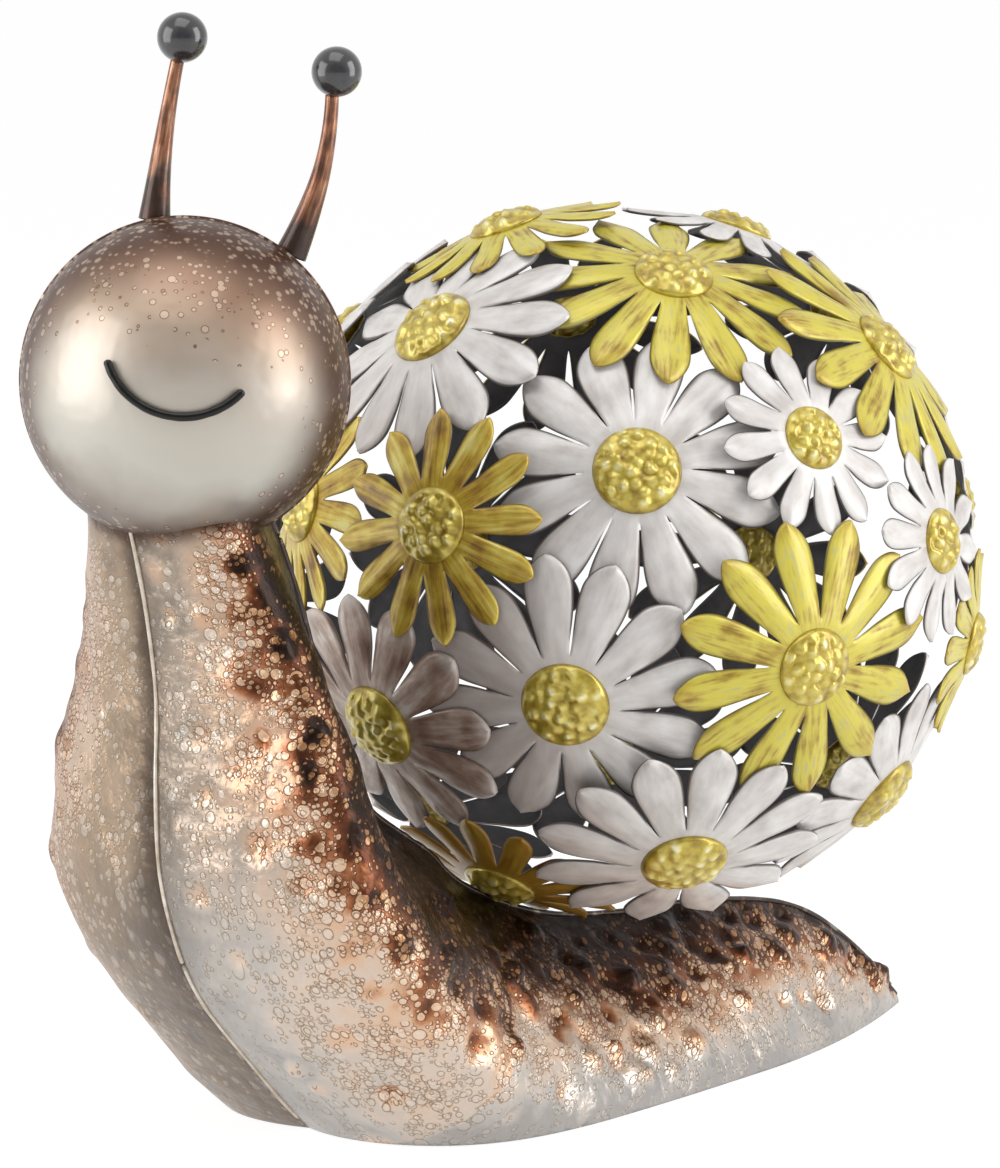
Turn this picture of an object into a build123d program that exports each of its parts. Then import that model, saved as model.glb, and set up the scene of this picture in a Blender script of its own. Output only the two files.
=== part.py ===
from build123d import *
import math
import os

# Snail figurine of welded sheet steel: a hammered body, a round head with eye stalks
# and an openwork ball of stamped daisies for its shell.
# Frame: +X to the front of the snail, +Y to its left, +Z up, millimetres.
# The origin is on the floor, under the middle of the shell ball.

# Shell ball and its seat on the back
shell_radius = 101.75
saddle_height = 41.8
seat_gap = 0.3
petal_sheet = 0.6

# Body
chest_reach = 177.5
tail_reach = 119.0
neck_height = 172.5
body_half_width = 59.0
body_wall = 0.8
seam_lip = 0.9
seam_half_thickness = 0.6
sole_thickness = 1.0

# Head
head_radius = 42.9
head_wall = 0.9
head_lift = 32.9
head_forward_share = 0.936
head_turn_angle = 41.0
head_tip_angle = 12.3
head_seam_lip = 0.5
head_seam_thickness = 1.0

# Smile
smile_wire_radius = 1.15
smile_half_width = 17.9
smile_end_rise = 6.3
smile_middle_drop = 3.8

# Eye stalks and their tips
stalk_rise = 37.3
stalk_spread = 20.0
stalk_foot_radius = 4.3
stalk_set_back = 6.0
tip_radius = 6.6

# Fits
weld_gap = 0.1
overrun = 5.0

os.makedirs("parts", exist_ok=True)


def save(builder, name):
    """Label a finished piece and write it under its name."""
    builder.part.label = name
    export_step(builder.part, f"parts/{name}.step")


# Body sections from the neck to the tail. Each row holds shares: front x, front z, back x,
# back z, half width, slope of the back ridge as a share of a right angle, place of the widest
# point from front to back, and how far each half bulges ahead of the seam.
# Front and back x follow chest_reach ahead of the origin and tail_reach behind it, z of the
# neck and chest follows neck_height, and z of the foot follows saddle_height.
neck_section_shares = (
    (1.056, 1.0, 0.780, 1.041, 0.49, 0.42, 0.33, 0.0),
    (1.020, 0.864, 0.715, 0.864, 0.56, 0.41, 0.31, 0.0),
    (0.998, 0.711, 0.667, 0.725, 0.76, 0.42, 0.28, 0.0),
    (1.0, 0.568, 0.617, 0.591, 0.92, 0.46, 0.26, 0.0),
    (0.988, 0.417, 0.580, 0.475, 1.0, 0.50, 0.27, 0.01),
    (0.918, 0.275, 0.535, 0.414, 1.02, 0.53, 0.28, 0.05),
    (0.800, 0.128, 0.473, 0.365, 1.0, 0.56, 0.28, 0.08),
    (0.640, -0.035, 0.383, 0.319, 0.96, 0.60, 0.30, 0.08),
)
foot_section_shares = (
    (0.420, -0.50, 0.225, 1.145, 0.88, 0.62, 0.33, 0.0),
    (0.028, -0.54, 0.0, 1.0, 0.72, 0.62, 0.35, 0.0),
)
tail_section_shares = (
    (-0.320, -0.53, -0.336, 0.98, 0.576, 0.60, 0.35, 0.0),
    (-0.605, -0.44, -0.639, 0.80, 0.381, 0.56, 0.35, 0.0),
    (-0.832, -0.234, -0.849, 0.44, 0.186, 0.52, 0.35, 0.0),
    (-0.993, -0.034, -0.996, 0.062, 0.025, 0.50, 0.35, 0.0),
)
fullness_share = 0.35
shoulder_share = 0.5

# Handle of a curve that passes for a quarter ellipse, as a share of its half width
quarter_share = 4 / 3 * (math.sqrt(2) - 1)
right_angle = 90.0

body_rows = (
    [(row, chest_reach, neck_height) for row in neck_section_shares]
    + [(row, chest_reach, saddle_height) for row in foot_section_shares]
    + [(row, tail_reach, saddle_height) for row in tail_section_shares]
)


def seam_ends(shares, reach, height):
    """Front and back seam points of one body section."""
    front_x, front_z, back_x, back_z = shares[:4]
    return Vector(front_x * reach, 0, front_z * height), Vector(back_x * reach, 0, back_z * height)


def half_section(shares, reach, height, inset):
    """Left half of one body section: a blunt front, a full flank and a sharp back ridge."""
    front, back = seam_ends(shares, reach, height)
    width_share, ridge_share, widest_share, bulge_share = shares[4:]
    axis = (back - front).normalized()
    length = (back - front).length
    ridge = math.radians(ridge_share * right_angle)
    start = inset
    end = length - inset / math.sin(ridge)
    width = width_share * body_half_width - inset
    widest = widest_share * length
    with BuildSketch(Plane(origin=front, x_dir=axis, z_dir=axis.cross(Vector(0, 1, 0)))) as section:
        with BuildLine():
            blunt = Bezier(
                (start, 0),
                (start - bulge_share * length, quarter_share * width),
                (widest - quarter_share * (widest - start), width),
                (widest, width),
            )
            flank = Bezier(
                blunt @ 1,
                (widest + fullness_share * (end - widest), width),
                (end - shoulder_share * width / math.tan(ridge), shoulder_share * width),
                (end, 0),
            )
            Line(flank @ 1, blunt @ 0)
        make_face()
    return section.sketch


def body_form(inset):
    """Left half of the body as a solid, drawn in from the outside by inset."""
    return loft([half_section(*row, inset) for row in body_rows])


# The head rests on the neck, turned to the snail's left and tipped to its right
head_centre = Vector(head_forward_share * chest_reach, 0, neck_height + head_lift)
head_facing = Location(head_centre, (0, 0, head_turn_angle)) * Location((0, 0, 0), (-head_tip_angle, 0, 0))
head_plane = Plane(head_facing)
floor_length = 2 * (chest_reach + tail_reach)
floor_width = 4 * body_half_width
floor_depth = 2 * saddle_height
seam_lines = [seam_ends(*row) for row in body_rows]
lip_lines = [
    (front - (back - front).normalized() * seam_lip, back + (back - front).normalized() * seam_lip)
    for front, back in seam_lines
]

# Left and right halves of the body, pressed from sheet, with a lip along the welded seam
with BuildPart() as body_left:
    add(body_form(0))
    with BuildSketch(Plane.XZ):
        with BuildLine():
            front_lip = Spline([(front.X, front.Z) for front, back in lip_lines])
            back_lip = Spline([(back.X, back.Z) for front, back in lip_lines])
            Line(front_lip @ 0, back_lip @ 0)
            Line(front_lip @ 1, back_lip @ 1)
        make_face()
    extrude(amount=-seam_half_thickness)
    add(body_form(body_wall), mode=Mode.SUBTRACT)
    with BuildSketch(Plane.XY):
        Rectangle(floor_length, floor_width)
    extrude(amount=-floor_depth, mode=Mode.SUBTRACT)
    with Locations(head_centre):
        Sphere(head_radius + head_seam_lip + weld_gap, mode=Mode.SUBTRACT)
save(body_left, "body_left")

with BuildPart() as body_right:
    add(mirror(body_left.part, about=Plane.XZ))
save(body_right, "body_right")

# Sole plate inside the rim of the foot
with BuildPart() as sole_plate:
    add(body_form(body_wall + weld_gap))
    mirror(about=Plane.XZ)
    with BuildSketch(Plane.XY):
        Rectangle(floor_length, floor_width)
    extrude(amount=sole_thickness, mode=Mode.INTERSECT)
save(sole_plate, "sole_plate")

# Front and back pressed halves of the head, the front one with a narrow lip along the seam
for name, facing, lip in (("head_front", 1, head_seam_lip), ("head_back", -1, 0)):
    profile_plane = Plane(head_centre, x_dir=head_plane.x_dir * facing, z_dir=head_plane.y_dir * -facing)
    with BuildPart() as head_half:
        with BuildSketch(profile_plane):
            Circle(head_radius)
            Circle(head_radius - head_wall, mode=Mode.SUBTRACT)
            Rectangle(head_radius, head_radius, align=(Align.MIN, Align.MIN), mode=Mode.INTERSECT)
            if lip:
                with Locations((0, head_radius - head_wall)):
                    Rectangle(head_seam_thickness, head_wall + lip, align=(Align.MIN, Align.MIN))
        revolve(axis=Axis(head_centre, head_plane.x_dir))
    save(head_half, name)


def head_point(forward, left, up):
    """A place given from the middle of the head, along its own directions."""
    return head_plane.from_local_coords((forward, left, up))


# Smile, a wire bent to the curve of the face
smile_seat = head_radius + weld_gap + smile_wire_radius
smile_ends = [
    head_point(
        math.sqrt(smile_seat**2 - smile_half_width**2 - smile_end_rise**2),
        side * smile_half_width,
        smile_end_rise,
    )
    for side in (1, -1)
]
smile_middle = head_point(
    math.sqrt(smile_seat**2 - smile_middle_drop**2), 0, -smile_middle_drop
)
with BuildPart() as smile_wire:
    with BuildLine() as smile_path:
        ThreePointArc(smile_ends[0], smile_middle, smile_ends[1])
    with BuildSketch(Plane(smile_path.line @ 0, z_dir=smile_path.line % 0)):
        RegularPolygon(smile_wire_radius, 8)
    sweep()
save(smile_wire, "smile_wire")

# Eye stalks, tapered and slightly bent by hand, each with a ball on top. Rises are shares of
# the stalk's rise over the head, spreads of its spread, radii of its foot, and the foot stands
# at a share of the head's radius.
stalk_foot_share = 0.879
stalk_rise_shares = (0.097, 0.484, 1.0)
stalk_radius_shares = (1.0, 0.8, 0.56, 0.42)
left_spread_shares = (0.99, 1.07, 1.15, 1.07)
right_spread_shares = (0.83, 0.89, 0.95, 0.985)

for name, side, spread_shares in (
    ("left", 1, left_spread_shares),
    ("right", -1, right_spread_shares),
):
    heights = [stalk_foot_share * head_radius]
    heights += [head_radius + share * stalk_rise for share in stalk_rise_shares]
    path = [
        head_point(-stalk_set_back, side * spread * stalk_spread, height)
        for spread, height in zip(spread_shares, heights)
    ]
    foot_normal = (path[0] - head_centre).normalized()
    stalk_planes = [Plane(head_centre + foot_normal * (head_radius + weld_gap), z_dir=foot_normal)]
    stalk_planes += [Plane(place, z_dir=head_plane.z_dir) for place in path[1:]]
    with BuildPart() as stalk:
        for plane, share in zip(stalk_planes, stalk_radius_shares):
            with BuildSketch(plane):
                Circle(share * stalk_foot_radius)
        loft(ruled=True)
    save(stalk, f"stalk_{name}")
    with BuildPart() as stalk_tip:
        with Locations(path[-1] + head_plane.z_dir * (tip_radius + weld_gap)):
            Sphere(tip_radius)
    save(stalk_tip, f"stalk_tip_{name}")

# Petals of a stamped daisy, and of the brown one
petal_count = 12
brown_petal_count = 11

# Kinds of stamped daisy, which tile the ball and so follow its radius: number of petals, then
# reach over the curve of the ball, distance from the middle to the root of a petal and half
# width of a petal, as shares of the ball's radius
large_daisy_shares = (petal_count, 0.413, 0.118, 0.062)
yellow_daisy_shares = (petal_count, 0.413, 0.107, 0.051)
middle_daisy_shares = (petal_count, 0.378, 0.118, 0.062)
brown_daisy_shares = (brown_petal_count, 0.378, 0.118, 0.062)
slim_daisy_shares = (petal_count, 0.324, 0.102, 0.038)
small_daisy_shares = (petal_count, 0.275, 0.0885, 0.039)

# Depth of one layer of daisies, and of a flat petal's middle under the curve of the ball, as
# shares of the ball's radius
layer_step_share = 0.0172
petal_sag_share = 0.0098

# Each daisy: name, kind, direction round the ball, rise above its equator and spin, in degrees,
# and its layer, where 0 is the outermost
daisy_angles = (
    ("daisy_white_shoulder", large_daisy_shares, -5, 45.5, -8, 2),
    ("daisy_yellow_crown", yellow_daisy_shares, 61, 61, -16, 3),
    ("daisy_yellow_side_high", yellow_daisy_shares, 113, 39, -1, 1),
    ("daisy_white_middle", large_daisy_shares, 46, 22.5, -13, 4.25),
    ("daisy_white_small_high", small_daisy_shares, 79, 26, 0, 2),
    ("daisy_ochre_front", slim_daisy_shares, 12, 12, -21, 1),
    ("daisy_white_low", large_daisy_shares, 34, -16, 8.5, 3),
    ("daisy_yellow_side_low", yellow_daisy_shares, 75, -10, 11.6, 1),
    ("daisy_white_small_side", small_daisy_shares, 103, 7, -12, 0),
    ("daisy_brown_front", brown_daisy_shares, -3, -22, 7, 2),
    ("daisy_yellow_keel", slim_daisy_shares, 6, -57, -13, 1),
    ("daisy_white_keel", large_daisy_shares, 57.5, -46, -6.5, 0),
    ("daisy_white_quarter", middle_daisy_shares, 111, -38, -15, 1.5),
    ("daisy_yellow_quarter", small_daisy_shares, 124, -12, 0, 0.5),
    ("daisy_olive_front", slim_daisy_shares, -24, 12, 0, 3),
    ("daisy_yellow_top", slim_daisy_shares, -34, 71, 0, 1),
    ("daisy_white_top", slim_daisy_shares, 150, 70, 0, 2),
    ("daisy_white_back_high", large_daisy_shares, 173, 38, 0, 0),
    ("daisy_yellow_far_high", yellow_daisy_shares, 234, 38, 10, 1.75),
    ("daisy_white_far_shoulder", large_daisy_shares, 295, 36, 0, 0),
    ("daisy_white_back", slim_daisy_shares, 147, 8, 0, 1.5),
    ("daisy_yellow_tail", yellow_daisy_shares, 200, -6, 0, 1.5),
    ("daisy_white_far", large_daisy_shares, 252, -4, 0, 2.75),
    ("daisy_yellow_far_low", yellow_daisy_shares, 301, -8, 0, 2),
    ("daisy_white_tail_low", large_daisy_shares, 168, -40, 0, 0.75),
    ("daisy_white_far_tail", large_daisy_shares, 226, -44, 0, 2),
    ("daisy_brown_far_keel", large_daisy_shares, 288, -50, 0, 3),
)

# Widest point of a petal from root to tip, and height and top of a dome as shares of its root
widest_share = 0.6
dome_height_share = 0.34
dome_top_share = 0.6


def daisy_form(kind, layer):
    """A stamped daisy on top of the ball: a many-sided shell cut out in petals."""
    petals = kind[0]
    reach, root, half_width = [share * shell_radius for share in kind[1:]]
    radius = shell_radius * (1 - layer * layer_step_share)
    root_height = math.sqrt(radius**2 - root**2)
    tip = radius * math.sin(reach / radius)
    tip_height = radius * math.cos(reach / radius)
    skirt = overrun * (root_height - tip_height) / (tip - root)
    corner = root * math.tan(math.pi / petals)
    widest = root + widest_share * (tip - root)
    leaf = ((root, -corner), (widest, -half_width), (tip, 0), (widest, half_width))
    outline = [
        Vector(out, across, 0).rotate(Axis.Z, 360 * number / petals)
        for number in range(petals)
        for out, across in leaf
    ]
    steps = (
        (tip + overrun, tip_height - skirt, root, root_height),
        (root, root_height, dome_top_share * root, root_height + dome_height_share * root),
    )
    with BuildPart() as daisy:
        for drop, mode in ((0, Mode.ADD), (petal_sheet, Mode.SUBTRACT)):
            for wide, low, narrow, high in steps:
                with BuildSketch(Plane.XY.offset(low - drop)):
                    RegularPolygon(wide, petals, major_radius=False, rotation=180 / petals)
                lean = math.degrees(math.atan((wide - narrow) / (high - low)))
                extrude(amount=high - low, taper=lean, mode=mode)
        with BuildSketch(Plane.XY.offset(tip_height - overrun)):
            Polygon(*outline, align=None)
        extrude(amount=radius, mode=Mode.INTERSECT)
    return daisy.part


# Shell ball of daisies that overlap like scales, seated on the seam of the back by the flat
# petals of its second layer
seat_radius = shell_radius * (1 - layer_step_share - petal_sag_share)
ball_centre = Vector(0, 0, saddle_height + seam_lip + seat_gap + seat_radius)
for name, kind, turn, rise, spin, layer in daisy_angles:
    facing = Location(ball_centre, (0, 0, turn)) * Location((0, 0, 0), (0, right_angle - rise, 0))
    with BuildPart() as daisy:
        add(daisy_form(kind, layer).moved(facing * Location((0, 0, 0), (0, 0, 180 + spin))))
    save(daisy, name)
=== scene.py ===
"""Looks of a welded sheet-metal snail ornament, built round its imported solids.

Metres, in the frame of the solids: +X to the snail's front, +Y to its left, +Z up. Sizes are
written in millimetres, and a piece turns them to metres when its mesh is placed.
"""

from __future__ import annotations

import logging
import math
import random
from dataclasses import dataclass
from enum import Enum
from typing import Callable, Iterable, Sequence

import bmesh
import bpy
import numpy as np
from mathutils import Matrix, Vector, noise


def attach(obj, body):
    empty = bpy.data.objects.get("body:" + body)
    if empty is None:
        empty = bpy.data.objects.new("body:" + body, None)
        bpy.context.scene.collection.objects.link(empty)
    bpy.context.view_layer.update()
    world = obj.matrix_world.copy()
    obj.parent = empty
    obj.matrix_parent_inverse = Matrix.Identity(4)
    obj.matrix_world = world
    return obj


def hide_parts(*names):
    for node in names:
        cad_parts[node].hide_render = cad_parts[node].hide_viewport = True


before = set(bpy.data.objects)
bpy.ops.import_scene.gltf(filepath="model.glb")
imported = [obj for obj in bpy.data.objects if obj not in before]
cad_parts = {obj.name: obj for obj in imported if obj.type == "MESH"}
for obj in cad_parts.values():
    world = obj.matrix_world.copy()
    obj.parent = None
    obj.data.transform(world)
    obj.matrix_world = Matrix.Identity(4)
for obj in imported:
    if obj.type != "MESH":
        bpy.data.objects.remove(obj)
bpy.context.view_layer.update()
log = logging.getLogger("snail_ornament")

MM = 0.001
DECIMETRE = 100.0
BODY = "root"
RIGHT_ANGLE = 90.0
TURN = 2.0 * math.pi
QUARTER_TURN = 0.5 * math.pi
GOLDEN_TURN = math.pi * (3.0 - math.sqrt(5.0))
QUARTER_HANDLE = 4.0 / 3.0 * (math.sqrt(2.0) - 1.0)
WELD_DISTANCE = 0.02 * MM
CUT_DISTANCE = 1e-7
NOTHING = 1e-9
PLAIN_WHITE = (1.0, 1.0, 1.0, 1.0)

Tree = bpy.types.NodeTree
Socket = bpy.types.NodeSocket
Stops = tuple[tuple[float, str], ...]
Pairs = tuple[tuple[float, float], ...]
Place = tuple[float, float, float]
Colour = tuple[float, float, float, float]
Mapping = Callable[[float, float], Vector]
Chart = Callable[[float, float], Sequence[float]]

# Settings that many nodes share, and the numbers of a Mix node's sockets: the colours that lie
# under and over, the blend that comes out, and the numbers that it goes from and to
SMOOTH = {"interpolation_type": "SMOOTHSTEP"}
COLOURS = {"data_type": "RGBA"}
ADD, SUBTRACT = {"operation": "ADD"}, {"operation": "SUBTRACT"}
MULTIPLY, MULTIPLY_ADD = {"operation": "MULTIPLY"}, {"operation": "MULTIPLY_ADD"}
MAXIMUM, DOT_PRODUCT = {"operation": "MAXIMUM"}, {"operation": "DOT_PRODUCT"}
UNDER, OVER, BLEND = 6, 7, 2
FROM_NUMBER, TO_NUMBER = 2, 3

# Colour and node helpers


def linear(hex_colour: str) -> Colour:
    """Turns an sRGB hex colour to the linear values that a shader takes.

    Args:
        hex_colour: Colour such as "C4B3A3".

    Returns:
        Linear red, green and blue, and an alpha of 1.
    """
    levels = [int(hex_colour[place:place + 2], 16) / 255.0 for place in (0, 2, 4)]
    low, slope, offset, power = 0.04045, 12.92, 0.055, 2.4
    red, green, blue = [v / slope if v <= low else ((v + offset) / (1.0 + offset)) ** power for v in levels]
    return red, green, blue, 1.0


def add_node(tree: Tree, kind: str, settings: dict | None = None, inputs: dict | None = None,
             stops: Stops = ()) -> bpy.types.Node:
    """Adds one node with its settings, its values and its links.

    Args:
        tree: Node tree of the material.
        kind: Node type, such as "ShaderNodeMath".
        settings: Attributes of the node by name.
        inputs: Values, or sockets to link from, by input name or number.
        stops: Places and sRGB hex colours of a colour ramp.

    Returns:
        The new node.
    """
    item = tree.nodes.new(kind)
    for name, value in (settings or {}).items():
        setattr(item, name, value)
    for key, value in (inputs or {}).items():
        if isinstance(value, Socket):
            tree.links.new(value, item.inputs[key])
        else:
            item.inputs[key].default_value = value
    if stops:
        elements = item.color_ramp.elements
        while len(elements) < len(stops):
            elements.new(1.0)
        for element, (place, _) in zip(elements, stops):
            element.position = place
        for element, (_, colour) in zip(elements, stops):
            element.color = linear(colour)
    return item


# Finishes


@dataclass(frozen=True)
class Finish:
    """A painted metal surface: its slot in the record and how its lacquer shines."""

    name: str
    slot: str
    roughness: float = 0.45
    metallic: float = 0.0
    coat: float = 0.0
    coat_roughness: float = 0.15
    specular: float = 0.5

    def colour(self, tree: Tree) -> tuple[Socket, Socket]:
        """Builds the colour of the surface and its relief.

        Args:
            tree: Node tree of the material.

        Returns:
            Colour socket, and height socket in millimetres.
        """
        raise NotImplementedError

    def material(self) -> bpy.types.Material:
        """Makes the material once and gives it back after that.

        Returns:
            The material of this finish.
        """
        known = bpy.data.materials.get(self.name)
        if known:
            return known
        material = bpy.data.materials.new(self.name)
        material.use_nodes = True
        tree = material.node_tree
        tree.nodes.clear()
        colour, height = self.colour(tree)
        bump = add_node(tree, "ShaderNodeBump", inputs={"Strength": 1.0, "Distance": MM, "Height": height})
        surface = add_node(tree, "ShaderNodeBsdfPrincipled", inputs={
            "Base Color": colour, "Normal": bump.outputs["Normal"], "Roughness": self.roughness,
            "Metallic": self.metallic, "Specular IOR Level": self.specular, "Coat Weight": self.coat,
            "Coat Roughness": self.coat_roughness})
        add_node(tree, "ShaderNodeOutputMaterial", inputs={"Surface": surface.outputs["BSDF"]})
        return material


def place_in_mm(tree: Tree) -> Socket:
    """Object coordinates in millimetres."""
    coordinates = add_node(tree, "ShaderNodeTexCoord")
    scaled = add_node(tree, "ShaderNodeVectorMath", {"operation": "SCALE"},
                      {0: coordinates.outputs["Object"], "Scale": 1.0 / MM})
    return scaled.outputs[0]


@dataclass(frozen=True)
class Bubbles:
    """One size of the round bubbles that a solvent leaves in wet lacquer.

    Attributes:
        cell: Distance between bubbles in millimetres.
        largest: Radius of the largest bubble as a share of the cell.
        rim: Width of a bubble's dark rim in millimetres.
        fill: How strongly a bubble is lighter inside.
        dimensions: "2D" where the place lies on a map of the surface, and else "3D".
        ink: How strongly its rim is darker.
        smallest: Radius of the smallest bubble as a share of the largest.
        scatter: How unevenly the bubbles stand, 0 to 1.
    """

    cell: float
    largest: float
    rim: float
    fill: float
    dimensions: str
    ink: float = 1.0
    smallest: float = 0.3
    scatter: float = 0.85

    def masks(self, tree: Tree, place: Socket, amount: Socket) -> tuple[Socket, Socket]:
        """Builds the masks of the bubbles.

        Args:
            tree: Node tree of the material.
            place: Position in millimetres.
            amount: Share of the cells that hold a bubble, 0 to 1.

        Returns:
            Sockets for the inside of the bubbles and for their rims, 0 to 1.
        """
        cells = add_node(tree, "ShaderNodeTexVoronoi", {
            "feature": "F1", "voronoi_dimensions": self.dimensions},
            {"Vector": place, "Scale": 1.0 / self.cell, "Randomness": self.scatter})
        chance = add_node(tree, "ShaderNodeSeparateColor", inputs={0: cells.outputs["Color"]})
        held = add_node(tree, "ShaderNodeMath", {"operation": "LESS_THAN"},
                        {0: chance.outputs[0], 1: amount})
        radius = add_node(tree, "ShaderNodeMapRange", inputs={
            "Value": chance.outputs[1], "To Min": self.smallest * self.largest, "To Max": self.largest})
        inside = add_node(tree, "ShaderNodeMath", SUBTRACT,
                          {0: radius.outputs[0], 1: cells.outputs["Distance"]})
        soft = self.rim / self.cell
        masks = []
        for start, end in ((0.0, soft), (-soft, 0.0)):
            round_mask = add_node(tree, "ShaderNodeMapRange", SMOOTH, {
                "Value": inside.outputs[0], "From Min": start, "From Max": end})
            masks.append(add_node(tree, "ShaderNodeMath", MULTIPLY,
                                  {0: round_mask.outputs[0], 1: held.outputs[0]}))
        disc, outer = masks
        rim_only = add_node(tree, "ShaderNodeMath", {**SUBTRACT, "use_clamp": True},
                            {0: outer.outputs[0], 1: disc.outputs[0]})
        return disc.outputs[0], rim_only.outputs[0]

    def paint(self, tree: Tree, place: Socket, amount: Socket, colour: Socket,
              dark: Socket | Colour, light: Socket | Colour) -> tuple[Socket, Socket]:
        """Paints the bubbles over a colour.

        Args:
            tree: Node tree of the material.
            place: Position in millimetres.
            amount: Share of the cells that hold a bubble, 0 to 1.
            colour: Colour so far.
            dark: Colour of the rims.
            light: Colour inside the bubbles.

        Returns:
            The colour with the bubbles on it, and the mask of their rims.
        """
        disc, rim = self.masks(tree, place, amount)
        for mask, strength, tint in ((rim, self.ink, dark), (disc, self.fill, light)):
            share = add_node(tree, "ShaderNodeMath", MULTIPLY, {0: mask, 1: strength})
            mixed = add_node(tree, "ShaderNodeMix", COLOURS, {
                "Factor": share.outputs[0], UNDER: colour, OVER: tint})
            colour = mixed.outputs[BLEND]
        return colour, rim


@dataclass(frozen=True)
class BodyPaint(Finish):
    """Pearl lacquer sprayed from champagne to dark brown and spotted with solvent.

    The eye sees a pale silvery skirt, a copper band full of light round bubbles with thin
    brown rims, and a dark brown ridge where the spray was heaviest. The body's "flow" map
    holds shares along it and across from the skirt to the ridge, its "cut" map the same in
    decimetres, and its "marks" map the tops of the hammer marks and the hollows round them.
    Bubble cells hold the distance between bubbles and the largest radius as a share of it.
    """

    bubble_cells: Pairs = ((1.7, 0.46), (4.6, 0.42), (2.9, 0.48))
    froth_cell: float = 2.6
    bubble_rim: float = 0.3
    bubble_fill: float = 0.7
    bubble_ink: float = 0.85
    cloud_size: float = 22.0
    cloud_drift: float = 0.13
    patch_size: float = 13.2
    # The marks are painted darker for pooled lacquer and painted shade, and the hollows round them lighter as
    # a painted highlight
    crown_pool_and_shade_tone: float = 0.2
    hollow_highlight_tone: float = -0.07
    # Painted shade beside the chest's seam: how strong and in what colour
    seam_shade: float = 0.5
    seam_shade_colour: str = "3C2F25"
    head_centre: Place = (0.0, 0.0, 0.0)
    head_radius: float = 1.0
    # Painted contact shadow round the foot of the head: width, strength and colour
    contact_width: float = 4.0
    contact_shade: float = 0.9
    contact_shadow_colour: str = "432A1B"
    grain_size: float = 0.9
    grain_height: float = 0.1
    dent_size: float = 5.5
    dent_height: float = 1.1
    rim_height: float = -0.1
    # The chest's lowest stops are darker, a painted shade beside the seam
    chest_stops: Stops = (
        (0.0, "8E8275"), (0.12, "AB9A8A"), (0.26, "BFA48D"), (0.4, "D2A88A"),
        (0.52, "A96A45"), (0.62, "6E3D24"), (0.74, "2B170D"), (1.0, "140C07"))
    foot_stops: Stops = (
        (0.0, "ABA6A1"), (0.14, "C4BDB6"), (0.28, "D9C6B6"), (0.4, "DDB898"),
        (0.52, "A96A42"), (0.62, "64371E"), (0.74, "391E10"), (1.0, "20120B"))
    bubble_stops: Stops = (
        (0.0, "BDB5AB"), (0.25, "DACCBE"), (0.4, "EFDAC6"), (0.55, "F2D3B2"),
        (0.66, "D6A578"), (0.76, "A07048"), (1.0, "5E3C26"))
    rim_stops: Stops = (
        (0.0, "978B7D"), (0.25, "9A8266"), (0.4, "8A5F41"), (0.55, "5A331E"),
        (0.75, "21120A"), (1.0, "130B07"))

    def tone(self, tree: Tree, place: Socket, across: Socket) -> Socket:
        """Builds how heavily each place is sprayed.

        Args:
            tree: Node tree of the material.
            place: Position in millimetres.
            across: Share from the skirt to the ridge.

        Returns:
            Share from pale to dark, clouded, darker on the hammer marks for pooled lacquer and
            painted shade, and lighter round them as a painted highlight.
        """
        marks = add_node(tree, "ShaderNodeUVMap", {"uv_map": "marks"})
        mark = add_node(tree, "ShaderNodeSeparateXYZ", inputs={0: marks.outputs[0]})
        cloud = add_node(tree, "ShaderNodeTexNoise", inputs={
            "Vector": place, "Scale": 1.0 / self.cloud_size, "Detail": 4.0, "Roughness": 0.65})
        drift = add_node(tree, "ShaderNodeMapRange", inputs={
            "Value": cloud.outputs["Fac"], "From Min": 0.3, "From Max": 0.7,
            "To Min": -self.cloud_drift, "To Max": self.cloud_drift})
        drifted = add_node(tree, "ShaderNodeMath", ADD, {0: across, 1: drift.outputs[0]})
        # Lighter round the marks as a painted highlight, darker on them for pooled lacquer and painted shade
        ringed = add_node(tree, "ShaderNodeMath", MULTIPLY_ADD,
                          {0: mark.outputs["Y"], 1: self.hollow_highlight_tone, 2: drifted.outputs[0]})
        crowned = add_node(tree, "ShaderNodeMath", MULTIPLY_ADD,
                           {0: mark.outputs["X"], 1: self.crown_pool_and_shade_tone, 2: ringed.outputs[0]})
        return crowned.outputs[0]

    def bubble_share(self, tree: Tree, place: Socket, tone: Socket) -> Socket:
        """Builds how many of the cells hold a bubble.

        Args:
            tree: Node tree of the material.
            place: Position in millimetres.
            tone: How heavily each place is sprayed.

        Returns:
            Share that is low on the skirt, full in the copper band, low again on the ridge, and
            patchy all over.
        """
        amount = add_node(tree, "ShaderNodeMapRange", inputs={
            "Value": tone, "From Min": 0.05, "From Max": 0.42, "To Min": 0.22, "To Max": 1.0})
        patches = add_node(tree, "ShaderNodeTexNoise", inputs={
            "Vector": place, "Scale": 1.0 / self.patch_size, "Detail": 2.0})
        patchy = add_node(tree, "ShaderNodeMapRange", inputs={
            "Value": patches.outputs["Fac"], "From Min": 0.38, "From Max": 0.58,
            "To Min": 0.2, "To Max": 1.0})
        share = add_node(tree, "ShaderNodeMath", MULTIPLY, {0: amount.outputs[0], 1: patchy.outputs[0]})
        thinned = add_node(tree, "ShaderNodeMapRange", inputs={
            "Value": tone, "From Min": 0.56, "From Max": 0.85, "To Min": 1.0, "To Max": 0.34})
        held = add_node(tree, "ShaderNodeMath", MULTIPLY, {0: share.outputs[0], 1: thinned.outputs[0]})
        return held.outputs[0]

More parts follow.
